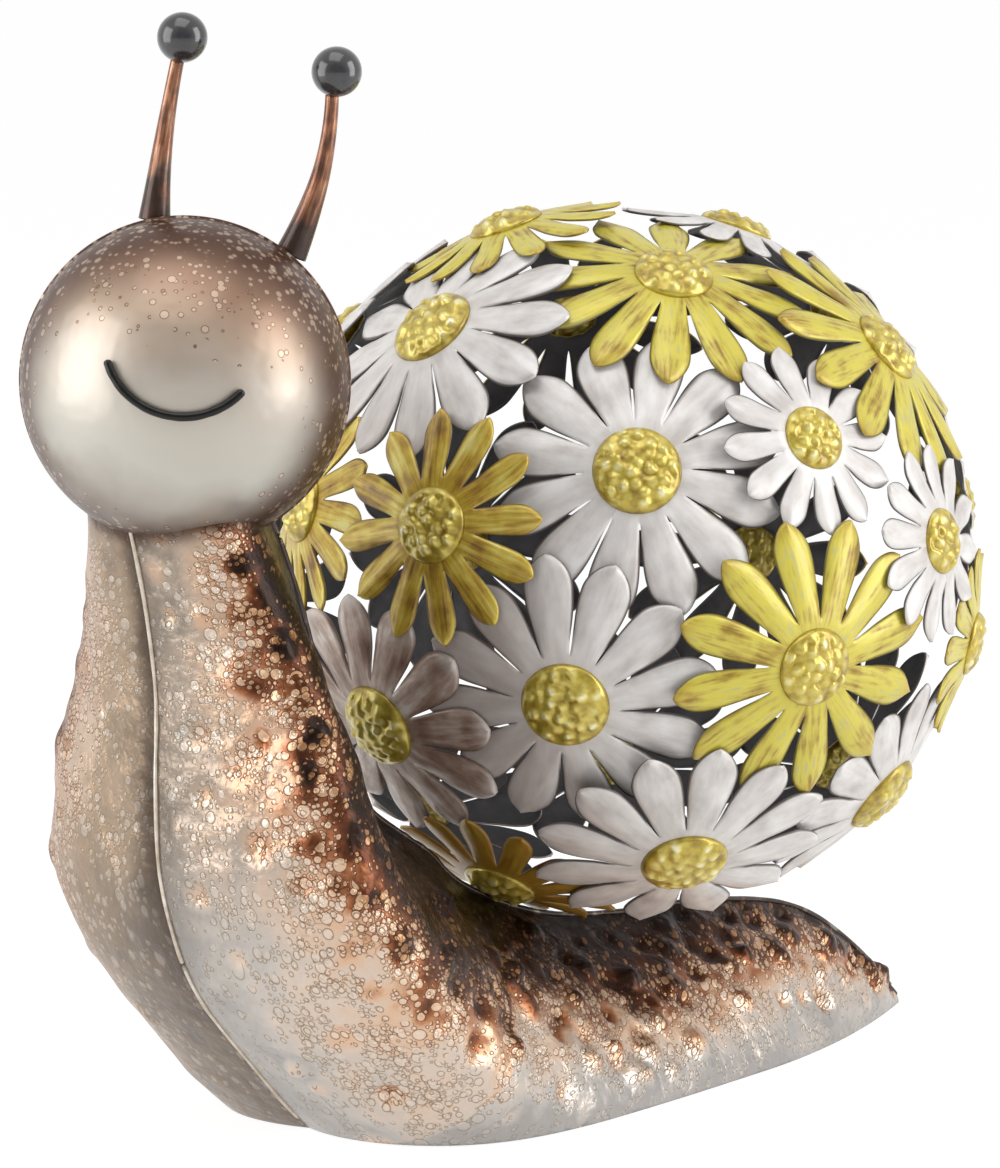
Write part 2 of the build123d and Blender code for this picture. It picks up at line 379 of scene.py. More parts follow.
    def froth(self, tree: Tree, skin: Socket, held: Socket) -> Socket:
        """Builds the thin walls between bubbles that lie wall to wall.

        Args:
            tree: Node tree of the material.
            skin: Position on the skin in millimetres.
            held: Share of the cells that hold a bubble.

        Returns:
            Mask of the walls.
        """
        walls = add_node(tree, "ShaderNodeTexVoronoi", {
            "feature": "DISTANCE_TO_EDGE", "voronoi_dimensions": "2D"},
            {"Vector": skin, "Scale": 1.0 / self.froth_cell, "Randomness": 0.9})
        wall = add_node(tree, "ShaderNodeMapRange", SMOOTH, {
            "Value": walls.outputs["Distance"], "From Min": 0.09, "From Max": 0.02,
            "To Min": 0.0, "To Max": 0.8})
        frothy = add_node(tree, "ShaderNodeMapRange", SMOOTH, {
            "Value": held, "From Min": 0.45, "From Max": 0.85})
        mask = add_node(tree, "ShaderNodeMath", MULTIPLY, {0: wall.outputs[0], 1: frothy.outputs[0]})
        return mask.outputs[0]

    def shade(self, tree: Tree, place: Socket, shares: bpy.types.Node, colour: Socket) -> Socket:
        """Paints shade beside the chest's seam and a contact shadow round the head's foot.

        Args:
            tree: Node tree of the material.
            place: Position in millimetres.
            shares: Node with the shares along and across the body.
            colour: Colour so far.

        Returns:
            The darkened colour.
        """
        # Painted shade beside the chest's seam, fading out towards the foot
        near_seam = add_node(tree, "ShaderNodeMapRange", SMOOTH, {
            "Value": shares.outputs["Y"], "From Min": 0.11, "From Max": 0.0,
            "To Min": 0.0, "To Max": self.seam_shade})
        on_chest = add_node(tree, "ShaderNodeMapRange", SMOOTH, {
            "Value": shares.outputs["X"], "From Min": 0.42, "From Max": 0.22})
        shaded = add_node(tree, "ShaderNodeMath", MULTIPLY, {0: near_seam.outputs[0], 1: on_chest.outputs[0]})
        seamed = add_node(tree, "ShaderNodeMix", COLOURS, {
            "Factor": shaded.outputs[0], UNDER: colour, OVER: linear(self.seam_shade_colour)})
        # Painted contact shadow where the neck meets the head
        from_head = add_node(tree, "ShaderNodeVectorMath", {"operation": "DISTANCE"},
                             {0: place, 1: self.head_centre})
        under_head = add_node(tree, "ShaderNodeMapRange", SMOOTH, {
            "Value": from_head.outputs["Value"], "From Min": self.head_radius + self.contact_width,
            "From Max": self.head_radius, "To Min": 0.0, "To Max": self.contact_shade})
        collared = add_node(tree, "ShaderNodeMix", COLOURS, {
            "Factor": under_head.outputs[0], UNDER: seamed.outputs[BLEND],
            OVER: linear(self.contact_shadow_colour)})
        return collared.outputs[BLEND]

    def relief(self, tree: Tree, place: Socket, rims: Socket) -> Socket:
        """Builds the fine relief: grain, shallow dents and the edges of the bubbles.

        Args:
            tree: Node tree of the material.
            place: Position in millimetres.
            rims: Mask of the bubbles' rims.

        Returns:
            Height in millimetres.
        """
        grain = add_node(tree, "ShaderNodeTexNoise", inputs={
            "Vector": place, "Scale": 1.0 / self.grain_size, "Detail": 3.0})
        dents = add_node(tree, "ShaderNodeTexNoise", inputs={
            "Vector": place, "Scale": 1.0 / self.dent_size, "Detail": 2.0})
        dented = add_node(tree, "ShaderNodeMath", MULTIPLY, {0: dents.outputs["Fac"], 1: self.dent_height})
        grained = add_node(tree, "ShaderNodeMath", MULTIPLY_ADD,
                           {0: grain.outputs["Fac"], 1: self.grain_height, 2: dented.outputs[0]})
        height = add_node(tree, "ShaderNodeMath", MULTIPLY_ADD,
                          {0: rims, 1: self.rim_height, 2: grained.outputs[0]})
        return height.outputs[0]

    def colour(self, tree: Tree) -> tuple[Socket, Socket]:
        """Builds the colour of the body and its relief.

        Args:
            tree: Node tree of the material.

        Returns:
            Colour socket and height socket.
        """
        place = place_in_mm(tree)
        flow = add_node(tree, "ShaderNodeUVMap", {"uv_map": "flow"})
        shares = add_node(tree, "ShaderNodeSeparateXYZ", inputs={0: flow.outputs[0]})
        cut = add_node(tree, "ShaderNodeUVMap", {"uv_map": "cut"})
        skin = add_node(tree, "ShaderNodeVectorMath", {"operation": "SCALE"},
                        {0: cut.outputs[0], "Scale": DECIMETRE}).outputs[0]
        tone = self.tone(tree, place, shares.outputs["Y"])
        chest, foot, light, dark = [
            add_node(tree, "ShaderNodeValToRGB", inputs={0: tone}, stops=stops).outputs[0]
            for stops in (self.chest_stops, self.foot_stops, self.bubble_stops, self.rim_stops)]
        footward = add_node(tree, "ShaderNodeMapRange", SMOOTH, {
            "Value": shares.outputs["X"], "From Min": 0.2, "From Max": 0.32})
        ground = add_node(tree, "ShaderNodeMix", COLOURS, {
            "Factor": footward.outputs[0], UNDER: chest, OVER: foot})
        held = self.bubble_share(tree, place, tone)
        frothed = add_node(tree, "ShaderNodeMix", COLOURS, {
            "Factor": self.froth(tree, skin, held), UNDER: ground.outputs[BLEND], OVER: dark})
        colour = frothed.outputs[BLEND]
        rims: Socket | float = 0.0
        for cell, largest in self.bubble_cells:
            bubbles = Bubbles(cell, largest, self.bubble_rim, self.bubble_fill, "2D", self.bubble_ink)
            colour, rim = bubbles.paint(tree, skin, held, colour, dark, light)
            rims = add_node(tree, "ShaderNodeMath", ADD, {0: rims, 1: rim}).outputs[0]
        return self.shade(tree, place, shares, colour), self.relief(tree, place, rims)


@dataclass(frozen=True)
class HeadPaint(Finish):
    """Pearl champagne lacquer on a spun ball, browned from above and behind.

    The eye sees a smooth satin face, darker low down as painted shade, a warm brown brow, a
    brown rim made darker still as painted shade along the edge the camera sees, and pale
    bubbles scattered over the brow and along the seam. A range holds how far forward of the
    middle the brown starts and is full, as shares of the radius.
    """

    centre: Place = (0.0, 0.0, 0.0)
    forward: Place = (1.0, 0.0, 0.0)
    up: Place = (0.0, 0.0, 1.0)
    radius: float = 1.0
    cloud_size: float = 26.0
    cloud_drift: float = 0.12
    # Brown rim near the seam, made darker still as painted shade along the edge the camera sees
    rim_range: tuple[float, float] = (0.74, 0.31)
    rim_strength: float = 0.95
    rim_brown_and_shade_colour: str = "4C2C1B"
    rear_range: tuple[float, float] = (0.25, -0.3)
    rear_strength: float = 0.8
    rear_colour: str = "2E1C12"
    bubble_cells: Pairs = ((1.8, 0.5), (3.0, 0.42))
    bubble_rim: float = 0.22
    bubble_fill: float = 0.4
    bubble_colour: str = "E4CDB6"
    bubble_rim_colour: str = "7A5D49"
    dent_size: float = 12.0
    dent_height: float = 0.5
    # Colours from the bottom of the ball to its top: darker low down as painted shade, brown at the brow
    brow_stops: Stops = (
        (0.0, "8F857C"), (0.12, "A9A096"), (0.3, "C9C5BA"), (0.56, "C8BDB0"), (0.7, "B59F8B"),
        (0.84, "967762"), (1.0, "5E4232"))

    def colour(self, tree: Tree) -> tuple[Socket, Socket]:
        """Builds the colour of the head and its relief.

        Args:
            tree: Node tree of the material.

        Returns:
            Colour socket and height socket.
        """
        place = place_in_mm(tree)
        local = add_node(tree, "ShaderNodeVectorMath", SUBTRACT, {0: place, 1: self.centre})
        rise = add_node(tree, "ShaderNodeVectorMath", DOT_PRODUCT, {0: local.outputs[0], 1: self.up})
        reach = add_node(tree, "ShaderNodeVectorMath", DOT_PRODUCT, {0: local.outputs[0], 1: self.forward})
        cloud = add_node(tree, "ShaderNodeTexNoise", inputs={
            "Vector": place, "Scale": 1.0 / self.cloud_size, "Detail": 3.0, "Roughness": 0.6})
        drift = add_node(tree, "ShaderNodeMath", MULTIPLY_ADD,
                         {0: cloud.outputs["Fac"], 1: 2.0 * self.cloud_drift, 2: -self.cloud_drift})
        level = add_node(tree, "ShaderNodeMapRange", inputs={
            "Value": rise.outputs["Value"], "From Min": -self.radius, "From Max": self.radius})
        tone = add_node(tree, "ShaderNodeMath", ADD, {0: level.outputs[0], 1: drift.outputs[0]})
        ground = add_node(tree, "ShaderNodeValToRGB", inputs={0: tone.outputs[0]}, stops=self.brow_stops)
        drifted = add_node(tree, "ShaderNodeMath", MULTIPLY_ADD,
                           {0: drift.outputs[0], 1: self.radius, 2: reach.outputs["Value"]})
        colour = ground.outputs[0]
        for depth, (start, full), strength, brown in (
                (drifted.outputs[0], self.rim_range, self.rim_strength, self.rim_brown_and_shade_colour),
                (reach.outputs["Value"], self.rear_range, self.rear_strength, self.rear_colour)):
            mask = add_node(tree, "ShaderNodeMapRange", SMOOTH, {
                "Value": depth, "From Min": start * self.radius, "From Max": full * self.radius,
                "To Min": 0.0, "To Max": strength})
            browned = add_node(tree, "ShaderNodeMix", COLOURS, {
                "Factor": mask.outputs[0], UNDER: colour, OVER: linear(brown)})
            colour = browned.outputs[BLEND]
        high = add_node(tree, "ShaderNodeMapRange", inputs={
            "Value": tone.outputs[0], "From Min": 0.6, "From Max": 0.85, "To Min": 0.0, "To Max": 0.5})
        rearward = add_node(tree, "ShaderNodeMapRange", inputs={
            "Value": drifted.outputs[0], "From Min": 0.62 * self.radius,
            "From Max": 0.2 * self.radius, "To Min": 0.0, "To Max": 0.8})
        amount = add_node(tree, "ShaderNodeMath", MAXIMUM, {0: high.outputs[0], 1: rearward.outputs[0]})
        dark, light = linear(self.bubble_rim_colour), linear(self.bubble_colour)
        for cell, largest in self.bubble_cells:
            bubbles = Bubbles(cell, largest, self.bubble_rim, self.bubble_fill, "3D")
            colour, _ = bubbles.paint(tree, place, amount.outputs[0], colour, dark, light)
        dents = add_node(tree, "ShaderNodeTexNoise", inputs={
            "Vector": place, "Scale": 1.0 / self.dent_size, "Detail": 2.0})
        height = add_node(tree, "ShaderNodeMath", MULTIPLY, {0: dents.outputs["Fac"], 1: self.dent_height})
        return colour, height.outputs[0]


@dataclass(frozen=True)
class StreakPaint(Finish):
    """Lacquer wiped along a piece, so that its streaks run lengthwise.

    The eye sees light and dark lines of one family of colours along a petal or stalk, a dark
    outline along the edges, from the sheet's dark cut edge and painted shade beside it, and a
    darker tint from one side, weld soot at a stalk's foot and painted shade on the petals. The
    piece's "cut" map holds lengthwise and crosswise decimetres, and its "leaf" map shares.
    """

    stops: Stops = ((0.0, "000000"), (1.0, "FFFFFF"))
    streak_width: float = 1.4
    streak_length: float = 16.0
    cloud_size: float = 9.0
    # Dark outline along the edges: the sheet's dark cut edge and painted shade beside it
    edge: str = "8A7B6E"
    cut_edge_and_shade_strength: float = 0.5
    tip: str = "8A7B6E"
    tip_strength: float = 0.0
    # Darker tint from one side: weld soot at a stalk's foot, painted shade on the petals
    soot_and_shade_colour: str = "5E463A"
    soot_and_shade_strength: float = 0.0
    soot_and_shade_from: Place = (0.0, 0.0, 1.0)
    soot_and_shade_centre: Place = (0.0, 0.0, 0.0)
    soot_and_shade_range: tuple[float, float] = (0.0, 1.0)
    soot_and_shade_cloud: float = 50.0
    relief: float = 0.12

    def colour(self, tree: Tree) -> tuple[Socket, Socket]:
        """Builds the streaked colour and its relief.

        Args:
            tree: Node tree of the material.

        Returns:
            Colour socket and height socket.
        """
        place = place_in_mm(tree)
        cut = add_node(tree, "ShaderNodeUVMap", {"uv_map": "cut"})
        stretch = (DECIMETRE / self.streak_length, DECIMETRE / self.streak_width, 1.0)
        lines = add_node(tree, "ShaderNodeMapping", inputs={"Vector": cut.outputs[0], "Scale": stretch})
        streaks = add_node(tree, "ShaderNodeTexNoise", inputs={
            "Vector": lines.outputs[0], "Scale": 1.0, "Detail": 3.0, "Roughness": 0.55})
        cloud = add_node(tree, "ShaderNodeTexNoise", inputs={
            "Vector": place, "Scale": 1.0 / self.cloud_size, "Detail": 3.0})
        blend = add_node(tree, "ShaderNodeMath", ADD,
                         {0: streaks.outputs["Fac"], 1: cloud.outputs["Fac"]})
        spread = add_node(tree, "ShaderNodeMapRange", inputs={
            "Value": blend.outputs[0], "From Min": 0.72, "From Max": 1.28})
        ground = add_node(tree, "ShaderNodeValToRGB", inputs={0: spread.outputs[0]}, stops=self.stops)
        leaf = add_node(tree, "ShaderNodeUVMap", {"uv_map": "leaf"})
        shares = add_node(tree, "ShaderNodeSeparateXYZ", inputs={0: leaf.outputs[0]})
        off_middle = add_node(tree, "ShaderNodeMath", SUBTRACT, {0: shares.outputs["Y"], 1: 0.5})
        side = add_node(tree, "ShaderNodeMath", {"operation": "ABSOLUTE"}, {0: off_middle.outputs[0]})
        # Dark outline: the cut edge and painted shade along the petal's sides
        rim = add_node(tree, "ShaderNodeMapRange", SMOOTH, {
            "Value": side.outputs[0], "From Min": 0.44, "From Max": 0.485,
            "To Min": 0.0, "To Max": self.cut_edge_and_shade_strength})
        parted = add_node(tree, "ShaderNodeMapRange", inputs={
            "Value": shares.outputs["X"], "From Min": 0.22, "From Max": 0.3})
        outline = add_node(tree, "ShaderNodeMath", MULTIPLY, {0: rim.outputs[0], 1: parted.outputs[0]})
        far = add_node(tree, "ShaderNodeMapRange", SMOOTH, {
            "Value": shares.outputs["X"], "From Min": 0.7, "From Max": 1.0,
            "To Min": 0.0, "To Max": self.tip_strength})
        local = add_node(tree, "ShaderNodeVectorMath", SUBTRACT, {0: place, 1: self.soot_and_shade_centre})
        toward = add_node(tree, "ShaderNodeVectorMath", DOT_PRODUCT,
                          {0: local.outputs[0], 1: self.soot_and_shade_from})
        clouded = add_node(tree, "ShaderNodeMath", MULTIPLY_ADD,
                           {0: cloud.outputs["Fac"], 1: self.soot_and_shade_cloud, 2: toward.outputs["Value"]})
        low, high = self.soot_and_shade_range
        soot_and_shade_mask = add_node(tree, "ShaderNodeMapRange", SMOOTH, {
            "Value": clouded.outputs[0], "From Min": low, "From Max": high,
            "To Min": 0.0, "To Max": self.soot_and_shade_strength})
        colour = ground.outputs[0]
        for mask, over in ((outline, self.edge), (far, self.tip), (soot_and_shade_mask, self.soot_and_shade_colour)):
            mixed = add_node(tree, "ShaderNodeMix", COLOURS, {
                "Factor": mask.outputs[0], UNDER: colour, OVER: linear(over)})
            colour = mixed.outputs[BLEND]
        height = add_node(tree, "ShaderNodeMath", MULTIPLY, {0: streaks.outputs["Fac"], 1: self.relief})
        return colour, height.outputs[0]


@dataclass(frozen=True)
class MottlePaint(Finish):
    """Plain lacquer with soft mottling, for wire, balls, domes and unseen sides.

    The eye sees one colour that never lies quite flat, painted lighter as a highlight on the
    high spots where the piece's "leaf" map says so.
    """

    stops: Stops = ((0.0, "000000"), (1.0, "FFFFFF"))
    mottle_size: float = 5.0
    # How much lighter the high spots are painted, as a painted highlight
    height_share: float = 0.0
    relief: float = 0.1

    def colour(self, tree: Tree) -> tuple[Socket, Socket]:
        """Builds the mottled colour and its relief.

        Args:
            tree: Node tree of the material.

        Returns:
            Colour socket and height socket.
        """
        place = place_in_mm(tree)
        mottle = add_node(tree, "ShaderNodeTexNoise", inputs={
            "Vector": place, "Scale": 1.0 / self.mottle_size, "Detail": 4.0, "Roughness": 0.6})
        spread = add_node(tree, "ShaderNodeMapRange", inputs={
            "Value": mottle.outputs["Fac"], "From Min": 0.32, "From Max": 0.68,
            "To Min": 0.0, "To Max": 1.0 - self.height_share})
        value = spread.outputs[0]
        # High spots painted lighter as a highlight, where the "leaf" map says so
        if self.height_share:
            leaf = add_node(tree, "ShaderNodeUVMap", {"uv_map": "leaf"})
            shares = add_node(tree, "ShaderNodeSeparateXYZ", inputs={0: leaf.outputs[0]})
            raised = add_node(tree, "ShaderNodeMath", MULTIPLY_ADD,
                              {0: shares.outputs["Y"], 1: self.height_share, 2: value})
            value = raised.outputs[0]
        ground = add_node(tree, "ShaderNodeValToRGB", inputs={0: value}, stops=self.stops)
        height = add_node(tree, "ShaderNodeMath", MULTIPLY, {0: mottle.outputs["Fac"], 1: self.relief})
        return ground.outputs[0], height.outputs[0]


# Mesh helpers


def draw_map(bm: bmesh.types.BMesh, faces: Iterable[bmesh.types.BMFace], name: str, chart: Chart) -> None:
    """Draws a UV map by what the "leaf" map of the faces says.

    Args:
        bm: Mesh that holds the faces.
        faces: The faces, which have a "leaf" map.
        name: Name of the map, which may be "leaf" itself.
        chart: Place on the map for two shares from 0 to 1.
    """
    layer = bm.loops.layers.uv.get(name) or bm.loops.layers.uv.new(name)
    leaf = bm.loops.layers.uv["leaf"]
    for face in faces:
        for loop in face.loops:
            loop[layer].uv = chart(*loop[leaf].uv)


def mapped_grid(bm: bmesh.types.BMesh, along: int, across: int, mapping: Mapping) -> set[bmesh.types.BMFace]:
    """Makes a grid with the operator and bends it to a form.

    Args:
        bm: Mesh to add to.
        along: Faces lengthwise.
        across: Faces crosswise.
        mapping: Place in millimetres for two shares from 0 to 1.

    Returns:
        The new faces. Their "leaf" map holds the two shares.
    """
    half = 0.5
    made = bmesh.ops.create_grid(bm, x_segments=along, y_segments=across, size=half)
    shares = {vert: (vert.co.x + half, vert.co.y + half) for vert in made["verts"]}
    layer = bm.loops.layers.uv.get("leaf") or bm.loops.layers.uv.new("leaf")
    faces = {face for vert in shares for face in vert.link_faces}
    for face in faces:
        face.smooth = True
        for loop in face.loops:
            loop[layer].uv = shares[loop.vert]
    for vert, (length_share, width_share) in shares.items():
        vert.co = mapping(length_share, width_share) * MM
    return faces


def cut_at_floor(bm: bmesh.types.BMesh) -> None:
    """Cuts away what hangs below the floor."""
    bmesh.ops.bisect_plane(bm, geom=bm.verts[:] + bm.edges[:] + bm.faces[:], dist=CUT_DISTANCE,
                           plane_co=(0.0, 0.0, 0.0), plane_no=(0.0, 0.0, -1.0), clear_outer=True)


def finish_piece(name: str, bm: bmesh.types.BMesh, finishes: Sequence[Finish],
                 inside: Vector | None = None, merge: bool = True) -> bpy.types.Object:
    """Turns a mesh to a piece that rides on the body.

    Args:
        name: Name of the piece.
        bm: Finished mesh, which is freed.
        finishes: Its finishes in slot order.
        inside: For an open sheet, a point in metres that its faces look away from.
        merge: Whether vertices that meet are merged.

    Returns:
        The new object.
    """
    if merge:
        bmesh.ops.remove_doubles(bm, verts=bm.verts[:], dist=WELD_DISTANCE)
    bmesh.ops.recalc_face_normals(bm, faces=bm.faces[:])
    if inside is not None:
        bm.normal_update()
        outlook = sum(face.normal.dot(face.calc_center_median() - inside) for face in bm.faces)
        if outlook < 0.0:
            bmesh.ops.reverse_faces(bm, faces=bm.faces[:])
    mesh = bpy.data.meshes.new(name)
    bm.to_mesh(mesh)
    bm.free()
    piece = bpy.data.objects.new(name, mesh)
    bpy.context.scene.collection.objects.link(piece)
    for finish in finishes:
        mesh.materials.append(finish.material())
    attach(piece, BODY)
    log.info("%s: %d faces", name, len(mesh.polygons))
    return piece


def give_thickness(piece: bpy.types.Object, thickness: float) -> None:
    """Gives a sheet its wall on the side away from its normals, in its last finish.

    Args:
        piece: Piece with a sheet mesh.
        thickness: Wall in millimetres.
    """
    wall = piece.modifiers.new("wall", "SOLIDIFY")
    wall.thickness = thickness * MM
    wall.offset = -1.0
    wall.use_even_offset = True
    wall.material_offset = len(piece.data.materials) - 1


def arc_lengths(points: np.ndarray) -> np.ndarray:
    """Gives the distance from the first point of a line to each of its points."""
    return np.concatenate([[0.0], np.cumsum(np.linalg.norm(np.diff(points, axis=0), axis=1))])


class Hermite:
    """A smooth curve through rows of values, as a draughtsman's spline would run."""

    def __init__(self, knots: np.ndarray, values: np.ndarray) -> None:
        """Works out the slopes at the knots.

        Args:
            knots: Rising places of the rows.
            values: One row of values a knot.
        """
        self.knots = np.asarray(knots, float)
        self.values = np.asarray(values, float)
        steps = np.diff(self.knots).reshape((-1,) + (1,) * (self.values.ndim - 1))
        slopes = np.diff(self.values, axis=0) / steps
        inner = (slopes[1:] * steps[:-1] + slopes[:-1] * steps[1:]) / (steps[1:] + steps[:-1])
        self.slopes = np.concatenate([
            2.0 * slopes[:1] - inner[:1], inner, 2.0 * slopes[-1:] - inner[-1:]])

    def at(self, place: float) -> np.ndarray:
        """Gives the row of values at a place.

        Args:
            place: Where along the knots.

        Returns:
            The values there.
        """
        row = int(np.clip(np.searchsorted(self.knots, place) - 1, 0, len(self.knots) - 2))
        step = self.knots[row + 1] - self.knots[row]
        t = (place - self.knots[row]) / step
        start = (1.0 + 2.0 * t) * (1.0 - t) ** 2
        start_slope = t * (1.0 - t) ** 2
        end = t * t * (3.0 - 2.0 * t)
        end_slope = t * t * (t - 1.0)
        return (start * self.values[row] + end * self.values[row + 1]
                + step * (start_slope * self.slopes[row] + end_slope * self.slopes[row + 1]))


def tube(bm: bmesh.types.BMesh, path: Sequence[Vector], radii: Sequence[float], sides: int,
         along: int, rounded: bool = False) -> None:
    """Adds a closed tube along a smooth path.

    Args:
        bm: Mesh to add to.
        path: Points in millimetres.
        radii: Radius at each point in millimetres.
        sides: Faces around.
        along: Faces lengthwise.
        rounded: Whether the ends close as half balls instead of flat.
    """
    points = np.array([list(point) for point in path])
    gauge = arc_lengths(points)
    bend = Hermite(gauge, np.column_stack([points, np.array(radii)]))
    whole, around = gauge[-1], TURN * max(radii)
    look_ahead, steep = 0.5, 0.9

    def place(length_share: float, width_share: float) -> Vector:
        """Place on the tube for shares along and around it."""
        station = whole * length_share
        x, y, z, radius = bend.at(station)
        ahead = bend.at(min(station + look_ahead, whole))[:3]
        behind = bend.at(max(station - look_ahead, 0.0))[:3]
        direction = Vector(ahead - behind).normalized()
        if rounded:
            nearest = min(station, whole - station)
            if nearest < radius:
                radius *= math.sqrt(max(0.0, 1.0 - (1.0 - nearest / radius) ** 2))
        elif length_share in (0.0, 1.0):
            radius = 0.0
        helper = Vector((0.0, 0.0, 1.0)) if abs(direction.z) < steep else Vector((1.0, 0.0, 0.0))
        sideways = direction.cross(helper).normalized()
        upward = sideways.cross(direction)
        angle = TURN * width_share
        return Vector((x, y, z)) + (sideways * math.cos(angle) + upward * math.sin(angle)) * radius

    faces = mapped_grid(bm, along, sides, place)
    draw_map(bm, faces, "cut", lambda u, v: (u * whole / DECIMETRE, v * around / DECIMETRE))


# Body


@dataclass(frozen=True)
class Half:
    """One pressed half of the body.

    Attributes:
        name: What its pieces are called.
        side: 1 on the left of the seam and -1 on the right.
        seed: Seed of its hammer marks.
        force: Height of its hammer marks as a share of the full one.
        widths: Shares along the body and how much wider the half is there than the solid.
    """

    name: str
    side: float
    seed: int
    force: float
    widths: tuple[tuple[float, float], ...]


NEAR_HALF = Half("left", 1.0, 11, 1.2, ((0.0, 1.0), (1.0, 1.0)))
FAR_HALF = Half("right", -1.0, 23, 0.45, (
    (0.0, 1.085), (0.06, 1.17), (0.13, 1.024), (0.22, 1.004), (0.28, 1.05), (0.34, 1.0), (0.6, 1.0)))


@dataclass
class BodyForm:
    """The hammered body: sections from the neck to the tail, in shares of its main sizes.

    Each row holds front x, front z, back x, back z, half width, slope of the back ridge as a
    share of a right angle, place of the widest point and how far a half bulges at the seam.
    The spray rows hold a share along the body and where across it the pale, copper and dark
    parts of the lacquer end. Lanes of hammer marks lie across the body by the same measure.

    Attributes:
        fullness: How far the flank keeps its width towards the ridge.
        shoulder: How far from the ridge its slope holds, as a share of the half width.
        base_band: Height over the floor in which the marks fade out, in millimetres.
        seam_band: Share of the width in which the marks fade out beside the seams.
        collar_share: Share of the length over which the marks fade in below the head.
        collar_start: How much of that share stays plain first.
        mark_spacing: Distance between rows of marks in millimetres.
        sunk_height: Height of a sunk mark as a share of a raised one.
        bare_skirt: How often a mark is left out at the skirt, falling with the lane.
        bare_share: How often a mark is left out anywhere.
        ripple_waves: Waves a millimetre and strength of the sheet's long and short ripples.
        bead_variation: Thinnest and thickest weld bead as shares of its radius.
    """

    chest_reach: float = 177.5
    tail_reach: float = 119.0
    neck_height: float = 172.5
    saddle_height: float = 41.8
    half_width: float = 59.0
    wall: float = 0.8
    fullness: float = 0.35
    shoulder: float = 0.5
    neck_rows: tuple[tuple[float, ...], ...] = (
        (1.056, 1.0, 0.800, 1.041, 0.42, 0.42, 0.33, 0.0),
        (1.020, 0.864, 0.715, 0.864, 0.54, 0.41, 0.31, 0.0),
        (0.998, 0.711, 0.667, 0.725, 0.76, 0.42, 0.28, 0.0),
        (1.0, 0.568, 0.617, 0.591, 0.92, 0.46, 0.26, 0.0),
        (0.988, 0.417, 0.556, 0.489, 1.0, 0.50, 0.27, 0.01),
        (0.933, 0.270, 0.495, 0.445, 1.03, 0.53, 0.28, 0.03),
        (0.815, 0.128, 0.432, 0.405, 1.0, 0.56, 0.28, 0.08),
        (0.640, -0.035, 0.362, 0.346, 0.96, 0.60, 0.30, 0.08),
    )
    foot_rows: tuple[tuple[float, ...], ...] = (
        (0.420, -0.50, 0.225, 1.175, 0.88, 0.62, 0.33, 0.0),
        (0.028, -0.54, 0.0, 1.02, 0.72, 0.62, 0.35, 0.0),
    )
    tail_rows: tuple[tuple[float, ...], ...] = (
        (-0.320, -0.53, -0.336, 0.98, 0.576, 0.60, 0.35, 0.0),
        (-0.605, -0.44, -0.639, 0.80, 0.381, 0.56, 0.35, 0.0),
        (-0.832, -0.234, -0.849, 0.44, 0.186, 0.52, 0.35, 0.0),
        (-0.993, -0.034, -0.996, 0.062, 0.025, 0.50, 0.35, 0.0),
    )
    spray_rows: tuple[tuple[float, ...], ...] = (
        (0.0, 0.30, 0.38, 0.46), (0.13, 0.27, 0.345, 0.41), (0.20, 0.29, 0.36, 0.415),
        (0.27, 0.35, 0.42, 0.50), (0.34, 0.37, 0.47, 0.60), (0.42, 0.47, 0.55, 0.64),
        (0.58, 0.24, 0.44, 0.61), (0.70, 0.34, 0.49, 0.68), (0.82, 0.42, 0.62, 0.84),
        (1.0, 0.45, 0.68, 0.95))
    spray_tones: tuple[float, ...] = (0.0, 0.38, 0.55, 0.74, 1.0)
    base_band: float = 9.0
    seam_band: float = 0.05
    collar_share: float = 0.07
    collar_start: float = 0.5
    mark_lanes: tuple[float, ...] = (0.14, 0.3, 0.42, 0.52, 0.64, 0.76, 0.88)
    mark_spacing: float = 14.0
    mark_radius: float = 4.6
    mark_height: float = 2.1
    mark_sizes: tuple[float, float] = (0.75, 1.35)
    mark_heights: tuple[float, float] = (0.45, 1.0)
    mark_roundness: float = 1.5
    row_jitter: float = 0.4
    lane_jitter: float = 0.07
    raised_share: float = 0.5
    sunk_height: float = -0.85
    bare_skirt: float = 0.58
    bare_share: float = 0.22
    ring_place: float = 1.2
    ring_width: float = 0.5
    ripple_waves: tuple[tuple[float, float], ...] = ((0.055, 1.0), (0.13, 0.5))
    ripple_height: float = 1.05
    front_bead: float = 0.7
    back_bead: float = 0.8
    bead_variation: tuple[float, float] = (0.85, 1.15)
    along: int = 380
    across: int = 80
    curve_steps: int = 200

    def __post_init__(self) -> None:
        """Samples every row and runs smooth curves through them."""
        rows = [(row, self.chest_reach, self.neck_height) for row in self.neck_rows]
        rows += [(row, self.chest_reach, self.saddle_height) for row in self.foot_rows]
        rows += [(row, self.tail_reach, self.saddle_height) for row in self.tail_rows]
        sampled = np.array([self.section(*row) for row in rows])
        gauge = arc_lengths(sampled[:, self.across // 2])
        curve = Hermite(gauge, sampled)
        self.length = gauge[-1]
        self.skin = np.array([curve.at(place) for place in np.linspace(0.0, self.length, self.along + 1)])
        self.girth = np.array([arc_lengths(line) for line in self.skin])
        self.tone = self.tones()

